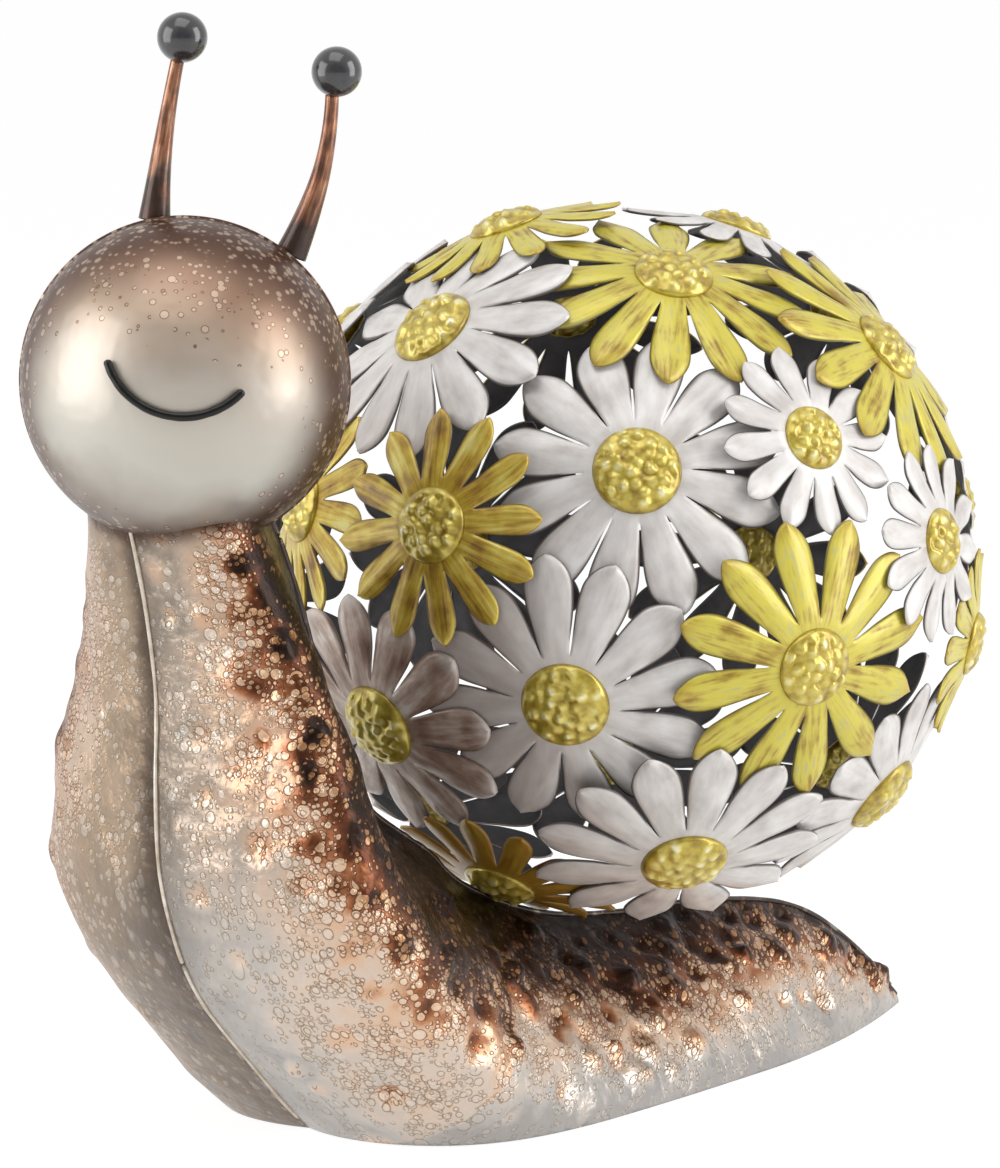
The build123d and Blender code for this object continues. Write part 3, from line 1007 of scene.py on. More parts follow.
    def section(self, shares: Sequence[float], reach: float, height: float) -> np.ndarray:
        """Samples the left half of one section at even steps of its length.

        Args:
            shares: The row of shares.
            reach: What its x shares follow, in millimetres.
            height: What its z shares follow, in millimetres.

        Returns:
            Points from the front seam over the flank to the back ridge.
        """
        front_x, front_z, back_x, back_z, width, ridge, widest, bulge = shares
        front = np.array([front_x * reach, 0.0, front_z * height])
        back = np.array([back_x * reach, 0.0, back_z * height])
        length = np.linalg.norm(back - front)
        axis = (back - front) / length
        width *= self.half_width
        widest *= length
        slope = math.tan(math.radians(ridge * RIGHT_ANGLE))
        blunt = np.array([
            (0.0, 0.0), (-bulge * length, QUARTER_HANDLE * width),
            (widest * (1.0 - QUARTER_HANDLE), width), (widest, width)])
        flank = np.array([
            (widest, width), (widest + self.fullness * (length - widest), width),
            (length - self.shoulder * width / slope, self.shoulder * width), (length, 0.0)])
        t = np.linspace(0.0, 1.0, self.curve_steps)[:, None]
        outline = np.concatenate([
            a * (1 - t) ** 3 + 3 * b * t * (1 - t) ** 2 + 3 * c * t ** 2 * (1 - t) + d * t ** 3
            for a, b, c, d in (blunt, flank)])
        gauge = arc_lengths(outline)
        even = np.linspace(0.0, gauge[-1], self.across + 1)
        down = np.interp(even, gauge, outline[:, 0])
        out = np.interp(even, gauge, outline[:, 1])
        return front + down[:, None] * axis + out[:, None] * np.array([0.0, 1.0, 0.0])

    def tones(self) -> np.ndarray:
        """Works out how dark each place is sprayed, from the seam or floor to the ridge.

        Returns:
            Shares from 0 at the pale skirt to 1 at the dark ridge.
        """
        least_width = 0.05
        across = np.linspace(0.0, 1.0, self.across + 1)
        tones = np.empty(self.skin.shape[:2])
        places, *ends = np.array(self.spray_rows).T
        for row, share in enumerate(np.linspace(0.0, 1.0, len(tones))):
            above = np.nonzero(self.skin[row, :, 2] >= 0.0)[0]
            start = across[above[0]] if len(above) else 1.0
            edges = [0.0, *(np.interp(share, places, end) for end in ends), 1.0]
            tones[row] = np.interp((across - start) / max(1.0 - start, least_width), edges, self.spray_tones)
        return tones

    def hammered(self, half: Half) -> tuple[np.ndarray, np.ndarray]:
        """Raises and sinks the marks of a ball hammer on the skin.

        Args:
            half: The half of the body.

        Returns:
            The moved points, and how far each lies on a mark and in the hollow round one.
        """
        draw = random.Random(half.seed)
        skin = self.skin.copy()
        lengthwise = np.linspace(0.0, 1.0, len(skin))
        places, factors = np.array(half.widths).T
        skin[:, :, 1] *= np.interp(lengthwise, places, factors)[:, None]
        lift, crown, hollow = np.zeros((3, *skin.shape[:2]))
        rows = int(self.length / self.mark_spacing)
        for row in range(rows):
            for lane in self.mark_lanes:
                along = (row + 0.5 + draw.uniform(-self.row_jitter, self.row_jitter)) / rows
                across = lane + draw.uniform(-self.lane_jitter, self.lane_jitter)
                keep, raised = draw.random(), draw.random()
                size = self.mark_radius * draw.uniform(*self.mark_sizes)
                height = half.force * self.mark_height * draw.uniform(*self.mark_heights)
                if keep < max(self.bare_skirt - lane, self.bare_share):
                    continue
                i = int(round(along * self.along))
                j = int(np.argmin(np.abs(self.tone[i] - across)))
                distance = np.linalg.norm(skin - skin[i, j], axis=2) / size
                mark = np.clip(1.0 - distance ** 2, 0.0, 1.0) ** self.mark_roundness
                ring = np.clip(1.0 - np.abs(distance - self.ring_place) / self.ring_width, 0.0, 1.0)
                height *= 1.0 if raised < self.raised_share else self.sunk_height
                lift += height * mark
                crown += abs(height) / self.mark_height * mark
                hollow += abs(height) / self.mark_height * ring
        lift += self.ripple_height * min(half.force, 1.0) * np.array([
            [sum(share * noise.noise(Vector(point) * wave) for wave, share in self.ripple_waves)
             for point in line] for line in skin])
        crosswise = np.linspace(0.0, 1.0, self.across + 1)
        lift *= np.clip(np.minimum(crosswise, crosswise[::-1]) / self.seam_band, 0.0, 1.0)[None, :]
        lift *= np.clip(skin[:, :, 2] / self.base_band, 0.0, 1.0)
        lift *= np.clip(lengthwise / self.collar_share - self.collar_start, 0.0, 1.0)[:, None]
        normals = np.cross(np.gradient(skin, axis=0), np.gradient(skin, axis=1))
        normals /= np.maximum(np.linalg.norm(normals, axis=2, keepdims=True), NOTHING)
        normals *= np.sign((normals * (skin - skin.mean(axis=1, keepdims=True))).sum(axis=2).mean())
        return skin + normals * lift[:, :, None], np.clip(np.stack([crown, hollow], axis=2), 0.0, 1.0)

    def cell(self, length_share: float, width_share: float) -> tuple[int, int]:
        """Gives the row and column of the skin for shares along and across it."""
        return round(length_share * self.along), round(width_share * self.across)

    def build(self, near: Finish, far: Finish, inner: Finish) -> None:
        """Makes both halves of the body.

        Args:
            near: Finish outside on the left half.
            far: Finish outside on the right half, which lies back behind the seam.
            inner: Finish of the unseen inside.
        """
        inside = Vector((self.saddle_height, 0.0, self.saddle_height)) * MM
        for half, paint in ((NEAR_HALF, near), (FAR_HALF, far)):
            skin, marks = self.hammered(half)
            skin *= np.array([1.0, half.side, 1.0])
            bm = bmesh.new()
            mapped_grid(bm, self.along, self.across, lambda u, v: Vector(skin[self.cell(u, v)]))
            draw_map(bm, bm.faces, "flow", lambda u, v: (u, self.tone[self.cell(u, v)]))
            draw_map(bm, bm.faces, "cut", lambda u, v: (
                u * self.length / DECIMETRE, (self.girth[self.cell(u, v)] + half.seed) / DECIMETRE))
            draw_map(bm, bm.faces, "marks", lambda u, v: marks[self.cell(u, v)])
            cut_at_floor(bm)
            piece = finish_piece(f"body_shell_{half.name}", bm, (paint, inner), inside)
            give_thickness(piece, self.wall)
            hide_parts(f"body_{half.name}")

    def build_seams(self, bright: Finish, dark: Finish) -> None:
        """Makes the weld beads along the front and back seams.

        Args:
            bright: Finish of the front bead.
            dark: Finish of the bead on the ridge.
        """
        every, faces_a_point, sides, lowest = 6, 4, 8, -1.0
        for name, column, radius, finish in (("seam_bead_front", 0, self.front_bead, bright),
                                             ("seam_bead_back", -1, self.back_bead, dark)):
            path = [Vector(point) for point in self.skin[::every, column] if point[2] > lowest]
            draw = random.Random(name)
            radii = [radius * draw.uniform(*self.bead_variation) for _ in path]
            bm = bmesh.new()
            tube(bm, path, radii, sides, along=len(path) * faces_a_point)
            cut_at_floor(bm)
            finish_piece(name, bm, (finish,))


# Head


@dataclass
class HeadForm:
    """The ball of the head with its seam, smile, stalks and tips.

    Attributes:
        forward_place: How far forward of the shell's middle the head stands.
        turn: Turn of the face to the left in degrees.
        tip: Lean of the face's up direction to the left in degrees.
        seam_edge: How far the lip's sharp edge at the seam is broken forward and inward.
        lip_chamfer: How far the lip's front edge is broken.
        smile_variation: Least and greatest radius of the bent wire as shares.
        rise_shares: Heights of a stalk's points over the head.
        radius_shares: Radii of a stalk from its foot up.
        left_spreads: How far out the left stalk's points stand.
        right_spreads: How far out the right stalk's points stand.
    """

    radius: float = 42.9
    wall: float = 0.9
    forward_place: float = 166.14
    height: float = 205.4
    turn: float = 41.0
    tip: float = 12.3
    lip: float = 0.5
    lip_thickness: float = 1.0
    lip_chamfer: float = 0.2
    seam_edge: tuple[float, float] = (0.12, 0.15)
    smile_radius: float = 1.15
    smile_variation: tuple[float, float] = (0.94, 1.04)
    smile_half_width: float = 17.9
    smile_end_rise: float = 6.3
    smile_drop: float = 3.8
    smile_seed: int = 5
    smile_steps: int = 24
    weld_gap: float = 0.1
    weld_depth: float = 1.0
    stalk_spread: float = 20.0
    stalk_set_back: float = 6.0
    stalk_rise: float = 37.3
    stalk_foot_share: float = 0.879
    stalk_foot_radius: float = 4.3
    stalk_foot_depth: float = 0.4
    tip_radius: float = 6.6
    rise_shares: tuple[float, ...] = (0.097, 0.484, 1.0)
    radius_shares: tuple[float, ...] = (1.0, 0.8, 0.56, 0.42)
    left_spreads: tuple[float, ...] = (0.99, 1.07, 1.15, 1.07)
    right_spreads: tuple[float, ...] = (0.83, 0.89, 0.95, 0.985)
    ball_steps: int = 40
    ball_turns: int = 144

    def __post_init__(self) -> None:
        """Works out the head's own frame."""
        turned = Matrix.Rotation(math.radians(self.turn), 4, "Z")
        tipped = Matrix.Rotation(math.radians(-self.tip), 4, "X")
        self.centre = Vector((self.forward_place, 0.0, self.height))
        self.frame = Matrix.Translation(self.centre) @ turned @ tipped
        self.forward, self.up = [self.frame.to_3x3().col[column].copy() for column in (0, 2)]

    def at(self, forward: float, left: float, up: float) -> Vector:
        """A place given from the middle of the head, along its own directions."""
        return self.frame @ Vector((forward, left, up))

    def build_ball(self, paint: Finish, inner: Finish) -> None:
        """Spins the two halves of the ball, the front one with a lip at the seam.

        Args:
            paint: Finish outside.
            inner: Finish of the unseen inside.
        """
        edge, brim, (broken, sunk) = self.radius + self.lip, self.lip_thickness, self.seam_edge
        lip_points = [(0.0, self.radius - self.wall), (0.0, edge - sunk), (broken, edge),
                      (brim - self.lip_chamfer, edge), (brim, edge - self.lip_chamfer)]
        for name, facing, start, rim_points in (
                ("front", 1.0, math.asin(brim / self.radius), lip_points), ("back", -1.0, 0.0, [])):
            angles = [start + (QUARTER_TURN - start) * step / self.ball_steps
                      for step in range(self.ball_steps + 1)]
            profile = rim_points + [
                (self.radius * math.sin(angle), self.radius * math.cos(angle)) for angle in angles]
            bm = bmesh.new()
            verts = [bm.verts.new(self.at(facing * x, r, 0.0) * MM) for x, r in profile]
            edges = [bm.edges.new(pair) for pair in zip(verts, verts[1:])]
            bmesh.ops.spin(bm, geom=verts + edges, cent=self.centre * MM, axis=self.forward,
                           angle=TURN, steps=self.ball_turns, use_merge=True)
            for face in bm.faces:
                face.smooth = True
            piece = finish_piece(f"head_shell_{name}", bm, (paint, inner), self.centre * MM)
            give_thickness(piece, self.wall)
            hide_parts(f"head_{name}")

    def build_smile(self, finish: Finish) -> None:
        """Bends the wire of the smile round the face.

        Args:
            finish: Finish of the wire.
        """
        seat = self.radius + self.weld_gap + self.smile_radius
        rise, half = self.smile_end_rise, self.smile_half_width
        first = self.at(math.sqrt(seat ** 2 - half ** 2 - rise ** 2), half, rise)
        last = self.at(math.sqrt(seat ** 2 - half ** 2 - rise ** 2), -half, rise)
        middle = self.at(math.sqrt(seat ** 2 - self.smile_drop ** 2), 0.0, -self.smile_drop)
        chord_a, chord_b = first - middle, last - middle
        normal = chord_a.cross(chord_b)
        offset = (chord_a.length_squared * chord_b - chord_b.length_squared * chord_a).cross(normal)
        centre = middle + offset / (2.0 * normal.length_squared)
        spoke_a, spoke_b = first - centre, last - centre
        sweep = spoke_a.angle(spoke_b)
        axis = spoke_a.cross(spoke_b).normalized()
        wrong_way = 1.0
        if (Matrix.Rotation(0.5 * sweep, 3, axis) @ spoke_a - (middle - centre)).length > wrong_way:
            axis.negate()
        path = [centre + Matrix.Rotation(sweep * step / self.smile_steps, 3, axis) @ spoke_a
                for step in range(self.smile_steps + 1)]
        draw = random.Random(self.smile_seed)
        radii = [self.smile_radius * draw.uniform(*self.smile_variation) for _ in path]
        bm = bmesh.new()
        tube(bm, path, radii, sides=16, along=120, rounded=True)
        piece = finish_piece("smile_bent_wire", bm, (finish,))
        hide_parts("smile_wire")

    def build_stalks(self, copper: Finish, black: Finish) -> None:
        """Draws the two stalks and sets a ball on each.

        Args:
            copper: Finish of the stalks.
            black: Finish of the balls.
        """
        heights = [self.stalk_foot_share * self.radius]
        heights += [self.radius + share * self.stalk_rise for share in self.rise_shares]
        radii = [share * self.stalk_foot_radius for share in self.radius_shares]
        for name, side, spreads in (("left", 1.0, self.left_spreads), ("right", -1.0, self.right_spreads)):
            path = [self.at(-self.stalk_set_back, side * spread * self.stalk_spread, height)
                    for spread, height in zip(spreads, heights)]
            outward = (path[0] - self.centre).normalized()
            foot = self.centre + outward * (self.radius - self.stalk_foot_depth)
            seat = path[-1] + self.up * self.weld_depth
            bm = bmesh.new()
            tube(bm, [foot, *path[1:-1], seat], radii, sides=28, along=80)
            piece = finish_piece(f"stalk_drawn_{name}", bm, (copper,))
            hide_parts(f"stalk_{name}")
            top = path[-1] + self.up * (self.tip_radius + self.weld_gap)
            turned = Matrix.Translation(top * MM) @ self.frame.to_3x3().to_4x4()
            bm = bmesh.new()
            bmesh.ops.create_uvsphere(bm, u_segments=48, v_segments=32, radius=self.tip_radius * MM,
                                      matrix=turned)
            for face in bm.faces:
                face.smooth = True
            piece = finish_piece(f"stalk_ball_{name}", bm, (black,))
            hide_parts(f"stalk_tip_{name}")


# Shell of daisies


class PetalColour(Enum):
    """Colours that the daisies are sprayed in."""

    WHITE = "white"
    YELLOW = "yellow"
    OCHRE = "ochre"
    BROWN = "brown"


@dataclass(frozen=True)
class DaisyKind:
    """A size of stamped daisy, in shares of the ball's radius.

    Attributes:
        petals: Number of petals.
        reach: From the middle to the tips over the curve of the ball.
        root: Radius of the dome.
        half_width: Half width of a petal.
        cup: Height of a petal's middle over its edges in millimetres.
    """

    petals: int
    reach: float
    root: float
    half_width: float
    cup: float


LARGE = DaisyKind(12, 0.413, 0.118, 0.0685, 1.4)
YELLOW = DaisyKind(12, 0.413, 0.107, 0.056, 1.3)
MIDDLE = DaisyKind(12, 0.378, 0.118, 0.067, 1.3)
BROWN = DaisyKind(11, 0.378, 0.118, 0.067, 1.4)
SLIM = DaisyKind(12, 0.324, 0.102, 0.042, 1.0)
SMALL = DaisyKind(12, 0.275, 0.0885, 0.042, 0.9)


@dataclass
class Daisy:
    """One stamped daisy on the ball.

    Attributes:
        name: Its node.
        kind: Its size.
        colour: Its petals' colour.
        turn: Direction round the ball in degrees.
        rise: Rise over the ball's equator in degrees.
        spin: Turn about its own middle in degrees.
        layer: Depth in layers, 0 being the outermost.
    """

    name: str
    kind: DaisyKind
    colour: PetalColour
    turn: float
    rise: float
    spin: float
    layer: float

    def frame(self, centre: Vector) -> Matrix:
        """Turns its own frame, with the dome up, to its place on the ball.

        Args:
            centre: Middle of the ball in millimetres.

        Returns:
            The matrix.
        """
        about = Matrix.Rotation(math.radians(self.turn), 4, "Z")
        lean = Matrix.Rotation(math.radians(RIGHT_ANGLE - self.rise), 4, "Y")
        twist = Matrix.Rotation(math.radians(2.0 * RIGHT_ANGLE + self.spin), 4, "Z")
        return Matrix.Translation(centre) @ about @ lean @ twist


@dataclass
class ShellBall:
    """The openwork ball of daisies.

    Attributes:
        layer_step: Drop from one layer of daisies to the next, as a share of the radius.
        petal_sag: How far a petal sags between its ends, as a share of the radius.
        sheet: Thickness of the blanks in millimetres.
        petal_start: Where a petal starts under the dome, as a share of the dome's radius.
        ring: Radius of the flat ring round the dome, as a share of the dome's radius.
        widest: Where a petal is widest, as a share of its length.
        root_share: Width of a petal where it leaves the ring, as a share of its wedge there.
        swell: Power of the sine that a petal widens by.
        tip_round: Power that rounds a petal's tip.
        tip_packing: How much closer the rows of faces lie at the tip.
        cup_rise: How many times sooner than the tip the cup is full.
        cup_sink: How far a cupped petal sinks, as a share of the cup.
        sag_share: How much of the sag the pressed petal keeps.
        petal_drop: How far a petal lies below the ring in millimetres.
        tip_shares: Shortest and longest petal as shares.
        tip_bluntness: Least and greatest power of a petal's tip.
        tip_sway: Greatest sideways bend of a tip in millimetres.
        cup_shares: Shallowest and deepest cup as shares.
        streak_shift: Greatest shift of one petal's streaks in decimetres.
    """

    radius: float = 101.75
    saddle_height: float = 41.8
    seam_lip: float = 0.9
    seat_gap: float = 0.3
    layer_step: float = 0.0172
    petal_sag: float = 0.0098
    sheet: float = 0.5
    petal_start: float = 0.75
    ring: float = 1.2
    widest: float = 0.67
    root_share: float = 0.97
    swell: float = 1.25
    tip_round: float = 0.72
    tip_packing: float = 0.35
    cup_rise: float = 3.0
    cup_sink: float = 0.55
    sag_share: float = 0.6
    petal_drop: float = 0.25
    tip_shares: tuple[float, float] = (0.955, 1.0)
    tip_bluntness: tuple[float, float] = (1.65, 2.2)
    tip_sway: float = 0.9
    cup_shares: tuple[float, float] = (0.75, 1.1)
    streak_shift: float = 20.0
    petal_rows: int = 26
    petal_columns: int = 8

    def __post_init__(self) -> None:
        """Seats the ball on the ridge of the back."""
        seat = self.radius * (1.0 - self.layer_step - self.petal_sag)
        self.centre = Vector((0.0, 0.0, self.saddle_height + self.seam_lip + self.seat_gap + seat))

    def level(self, daisy: Daisy) -> float:
        """Gives the distance of a daisy's sheet from the ball's middle."""
        return self.radius * (1.0 - daisy.layer * self.layer_step)

    def petal_half_width(self, kind: DaisyKind, out: float, blunt: float) -> float:
        """Half width of a petal at a distance from the daisy's middle.

        Args:
            kind: Kind of daisy.
            out: Distance in millimetres.
            blunt: How blunt the tip is, about 2.

        Returns:
            Half width in millimetres.
        """
        root, reach = kind.root * self.radius, kind.reach * self.radius
        full = kind.half_width * self.radius
        open_from = self.ring * root
        wedge = math.tan(math.pi / kind.petals)
        if out <= open_from:
            return out * wedge
        widest = root + self.widest * (reach - root)
        start = open_from * wedge * self.root_share
        if out < widest:
            t = (out - open_from) / (widest - open_from)
            return start + (full - start) * math.sin(QUARTER_TURN * t) ** self.swell
        t = min(1.0, (out - widest) / (reach - widest))
        return full * max(0.0, 1.0 - t ** blunt) ** self.tip_round

    def on_ball(self, across: Vector, level: float) -> Vector:
        """Bends a flat place round the ball.

        Args:
            across: Place on the flat in millimetres from the daisy's middle.
            level: Distance from the ball's middle.

        Returns:
            Place in the daisy's own frame.
        """
        out = across.length
        if out < NOTHING:
            return Vector((0.0, 0.0, level))
        bend = out / level
        flat = across / out
        sideways = level * math.sin(bend)
        return Vector((flat.x * sideways, flat.y * sideways, level * math.cos(bend)))

    def build_petals(self, daisy: Daisy, paint: Finish, inner: Finish, seed: int) -> None:
        """Makes the petals of one daisy and the flat ring that joins them.

        Args:
            daisy: The daisy.
            paint: Finish outside.
            inner: Finish of the side towards the middle of the ball.
            seed: Seed of what the hand tools left uneven.
        """
        kind, level, frame_here = daisy.kind, self.level(daisy), daisy.frame(self.centre)
        draw = random.Random(seed)
        root, reach = kind.root * self.radius, kind.reach * self.radius
        begin, open_from = self.petal_start * root, self.ring * root
        # A share times its rest is a quarter at most, so four times that is a full sag
        full_sag = 4.0 * self.petal_sag * self.radius
        bm = bmesh.new()
        for number in range(kind.petals):
            angle = TURN * number / kind.petals
            short = draw.uniform(*self.tip_shares)
            blunt = draw.uniform(*self.tip_bluntness)
            sway = draw.uniform(-self.tip_sway, self.tip_sway)
            cup = kind.cup * draw.uniform(*self.cup_shares)
            shift = draw.uniform(0.0, self.streak_shift)

            def place(length_share: float, width_share: float) -> Vector:
                """Place on the petal for shares along and across it."""
                packed = math.sin(QUARTER_TURN * length_share)
                t = packed * self.tip_packing + length_share * (1.0 - self.tip_packing)
                out = begin + (reach - begin) * t
                half = self.petal_half_width(kind, out, blunt)
                side = 2.0 * width_share - 1.0
                open_share = max(0.0, (out - open_from) / (reach - open_from))
                grown = min(1.0, open_share * self.cup_rise)
                shortened = out * (1.0 - (1.0 - short) * open_share)
                across = Vector((shortened, side * half + sway * open_share ** 2))
                across.rotate(Matrix.Rotation(angle, 2))
                sag = -full_sag * open_share * (1.0 - open_share)
                lift = grown * (cup * (1.0 - side * side) - self.cup_sink * cup) + sag * self.sag_share
                return frame_here @ self.on_ball(across, level + (lift - self.petal_drop * grown))

            def chart(u: float, v: float) -> tuple[float, float]:
                """Place on the "cut" map for shares along and across the petal."""
                half = self.petal_half_width(kind, begin + (reach - begin) * u, blunt)
                return u * reach / DECIMETRE + shift, (v - 0.5) * 2.0 * half / DECIMETRE

            draw_map(bm, mapped_grid(bm, self.petal_rows, self.petal_columns, place), "cut", chart)
        piece = finish_piece(f"{daisy.name}_petals", bm, (paint, inner), self.centre * MM)
        give_thickness(piece, self.sheet)
        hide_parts(daisy.name)


@dataclass
class DomeForm:
    """The hammered domes in the middle of the daisies.

    Attributes:
        ball: The ball that they stand on.
        height_share: Height of a dome as a share of its radius.
        flank: Power that rounds its flank.
        crown_share: How much of that height lies under the beads.
        sheet_gap: Rise of its rim over the daisy's sheet in millimetres.
        bead_radius: Radius of a hammered bead in millimetres.
        bead_step: Distance between beads in millimetres.
        bead_height: Height of a bead in millimetres.
        bead_field: Share of the radius that the beads fill.
        bead_jitter: How far a bead strays from its spiral in millimetres.
        turn_jitter: How far it strays round the dome in radians.
        bead_strengths: Lowest and highest bead as shares.
        crumple_wave: Waves a millimetre of the sheet between the beads.
        crumple_height: Height of those waves in millimetres.
        crumple_sink: How far the sheet between the beads lies low in millimetres.
        highest: Greatest rise of a bead over the dome in millimetres.
        rim_fade: How many times sooner than the middle the beads are full.
        seed_step: Distance between the crumple of one dome and the next.
        grid: Faces across.
    """

    ball: ShellBall
    height_share: float = 0.34
    flank: float = 2.6
    crown_share: float = 0.94
    sheet_gap: float = 0.05
    bead_radius: float = 1.75
    bead_step: float = 2.15
    bead_height: float = 0.95
    bead_field: float = 0.93
    bead_jitter: float = 0.35
    turn_jitter: float = 0.12
    bead_strengths: tuple[float, float] = (0.4, 1.1)
    crumple_wave: float = 0.35
    crumple_height: float = 0.9
    crumple_sink: float = 0.6
    highest: float = 0.45
    rim_fade: float = 5.0
    seed_step: float = 7.0
    grid: int = 44

    def beads(self, root: float, seed: int) -> np.ndarray:
        """Strews the beads over a dome, evenly as seeds lie in a flower.

        Args:
            root: Radius of the dome in millimetres.
            seed: Seed of the hammer marks.

        Returns:
            Place on the flat and strength of each bead.
        """
        draw = random.Random(seed)
        count = int((root / self.bead_step) ** 2)
        rows = []
        for number in range(count):
            out = root * self.bead_field * math.sqrt((number + 0.5) / count)
            out += draw.uniform(-self.bead_jitter, self.bead_jitter)
            angle = number * GOLDEN_TURN + draw.uniform(-self.turn_jitter, self.turn_jitter)
            rows.append((out * math.cos(angle), out * math.sin(angle), draw.uniform(*self.bead_strengths)))
        return np.array(rows)

    def build(self, daisy: Daisy, paint: Finish, seed: int) -> None:
        """Makes the hammered dome in the middle of one daisy.

        Args:
            daisy: The daisy.
            paint: Finish of the dome.
            seed: Seed of the hammer marks.
        """
        frame_here, level = daisy.frame(self.ball.centre), self.ball.level(daisy)
        root = daisy.kind.root * self.ball.radius
        height = self.height_share * root
        spots = self.beads(root, seed)
        heights, digits = {}, 4

        def place(x_share: float, y_share: float) -> Vector:
            """Place on the dome for shares of a square bent to a disc."""
            x, y = 2.0 * x_share - 1.0, 2.0 * y_share - 1.0
            disc = Vector((x * math.sqrt(1.0 - 0.5 * y * y), y * math.sqrt(1.0 - 0.5 * x * x)))
            flat = disc * root
            out = min(1.0, disc.length)
            crown = height * math.sqrt(max(0.0, 1.0 - out ** self.flank))
            distance = np.hypot(spots[:, 0] - flat.x, spots[:, 1] - flat.y)
            bead = float((np.clip(1.0 - (distance / self.bead_radius) ** 2, 0.0, 1.0) * spots[:, 2]).max())
            crumple = noise.noise(Vector((
                flat.x * self.crumple_wave, flat.y * self.crumple_wave, seed * self.seed_step)))
            inward = min(1.0, (1.0 - out) * self.rim_fade)
            raised = inward * (self.bead_height * bead + self.crumple_height * crumple - self.crumple_sink)
            heights[round(x_share, digits), round(y_share, digits)] = bead
            rise = self.sheet_gap + crown * self.crown_share + min(raised, self.highest)
            return frame_here @ self.ball.on_ball(flat, level + rise)

        bm = bmesh.new()
        mapped_grid(bm, self.grid, self.grid, place)
        # The "leaf" map holds each bead's height, which the lacquer paints lighter as a highlight
        draw_map(bm, bm.faces, "leaf", lambda u, v: (0.0, heights[round(u, digits), round(v, digits)]))
        piece = finish_piece(f"{daisy.name}_dome", bm, (paint,), self.ball.centre * MM, merge=False)
        give_thickness(piece, self.ball.sheet)


WHITE_PETALS, YELLOW_PETALS = PetalColour.WHITE, PetalColour.YELLOW
OCHRE_PETALS, BROWN_PETALS = PetalColour.OCHRE, PetalColour.BROWN
DAISIES = (
    Daisy("daisy_white_shoulder", LARGE, WHITE_PETALS, -5, 45.5, -8, 2),
    Daisy("daisy_yellow_crown", YELLOW, YELLOW_PETALS, 61, 61, -16, 3),
    Daisy("daisy_yellow_side_high", YELLOW, YELLOW_PETALS, 113, 39, -1, 1),
    Daisy("daisy_white_middle", LARGE, WHITE_PETALS, 46, 22.5, -13, 4.25),
    Daisy("daisy_white_small_high", SMALL, WHITE_PETALS, 79, 26, 0, 2),
    Daisy("daisy_ochre_front", SLIM, OCHRE_PETALS, 12, 12, -21, 1),
    Daisy("daisy_white_low", LARGE, WHITE_PETALS, 34, -16, 8.5, 3),
    Daisy("daisy_yellow_side_low", YELLOW, YELLOW_PETALS, 75, -10, 11.6, 1),
    Daisy("daisy_white_small_side", SMALL, WHITE_PETALS, 103, 7, -12, 0),
    Daisy("daisy_brown_front", BROWN, BROWN_PETALS, -3, -22, 7, 2),
    Daisy("daisy_yellow_keel", SLIM, YELLOW_PETALS, 6, -57, -13, 1),
    Daisy("daisy_white_keel", LARGE, WHITE_PETALS, 57.5, -46, -6.5, 0),
    Daisy("daisy_white_quarter", MIDDLE, WHITE_PETALS, 111, -38, -15, 1.5),
    Daisy("daisy_yellow_quarter", SMALL, YELLOW_PETALS, 124, -12, 0, 0.5),
    Daisy("daisy_olive_front", SLIM, OCHRE_PETALS, -24, 12, 0, 3),
    Daisy("daisy_yellow_top", SLIM, YELLOW_PETALS, -34, 71, 0, 1),
    Daisy("daisy_white_top", SLIM, WHITE_PETALS, 150, 70, 0, 2),
    Daisy("daisy_white_back_high", LARGE, WHITE_PETALS, 173, 38, 0, 0),
    Daisy("daisy_yellow_far_high", YELLOW, YELLOW_PETALS, 234, 38, 10, 1.75),
    Daisy("daisy_white_far_shoulder", LARGE, WHITE_PETALS, 295, 36, 0, 0),
    Daisy("daisy_white_back", SLIM, WHITE_PETALS, 147, 8, 0, 1.5),
    Daisy("daisy_yellow_tail", YELLOW, YELLOW_PETALS, 200, -6, 0, 1.5),
    Daisy("daisy_white_far", LARGE, WHITE_PETALS, 252, -4, 0, 2.75),
    Daisy("daisy_yellow_far_low", YELLOW, YELLOW_PETALS, 301, -8, 0, 2),
    Daisy("daisy_white_tail_low", LARGE, WHITE_PETALS, 168, -40, 0, 0.75),
    Daisy("daisy_white_far_tail", LARGE, WHITE_PETALS, 226, -44, 0, 2),
    Daisy("daisy_brown_far_keel", LARGE, BROWN_PETALS, 288, -50, 0, 3),
)
PETAL_SEED, DOME_SEED = 100, 200


# Studio


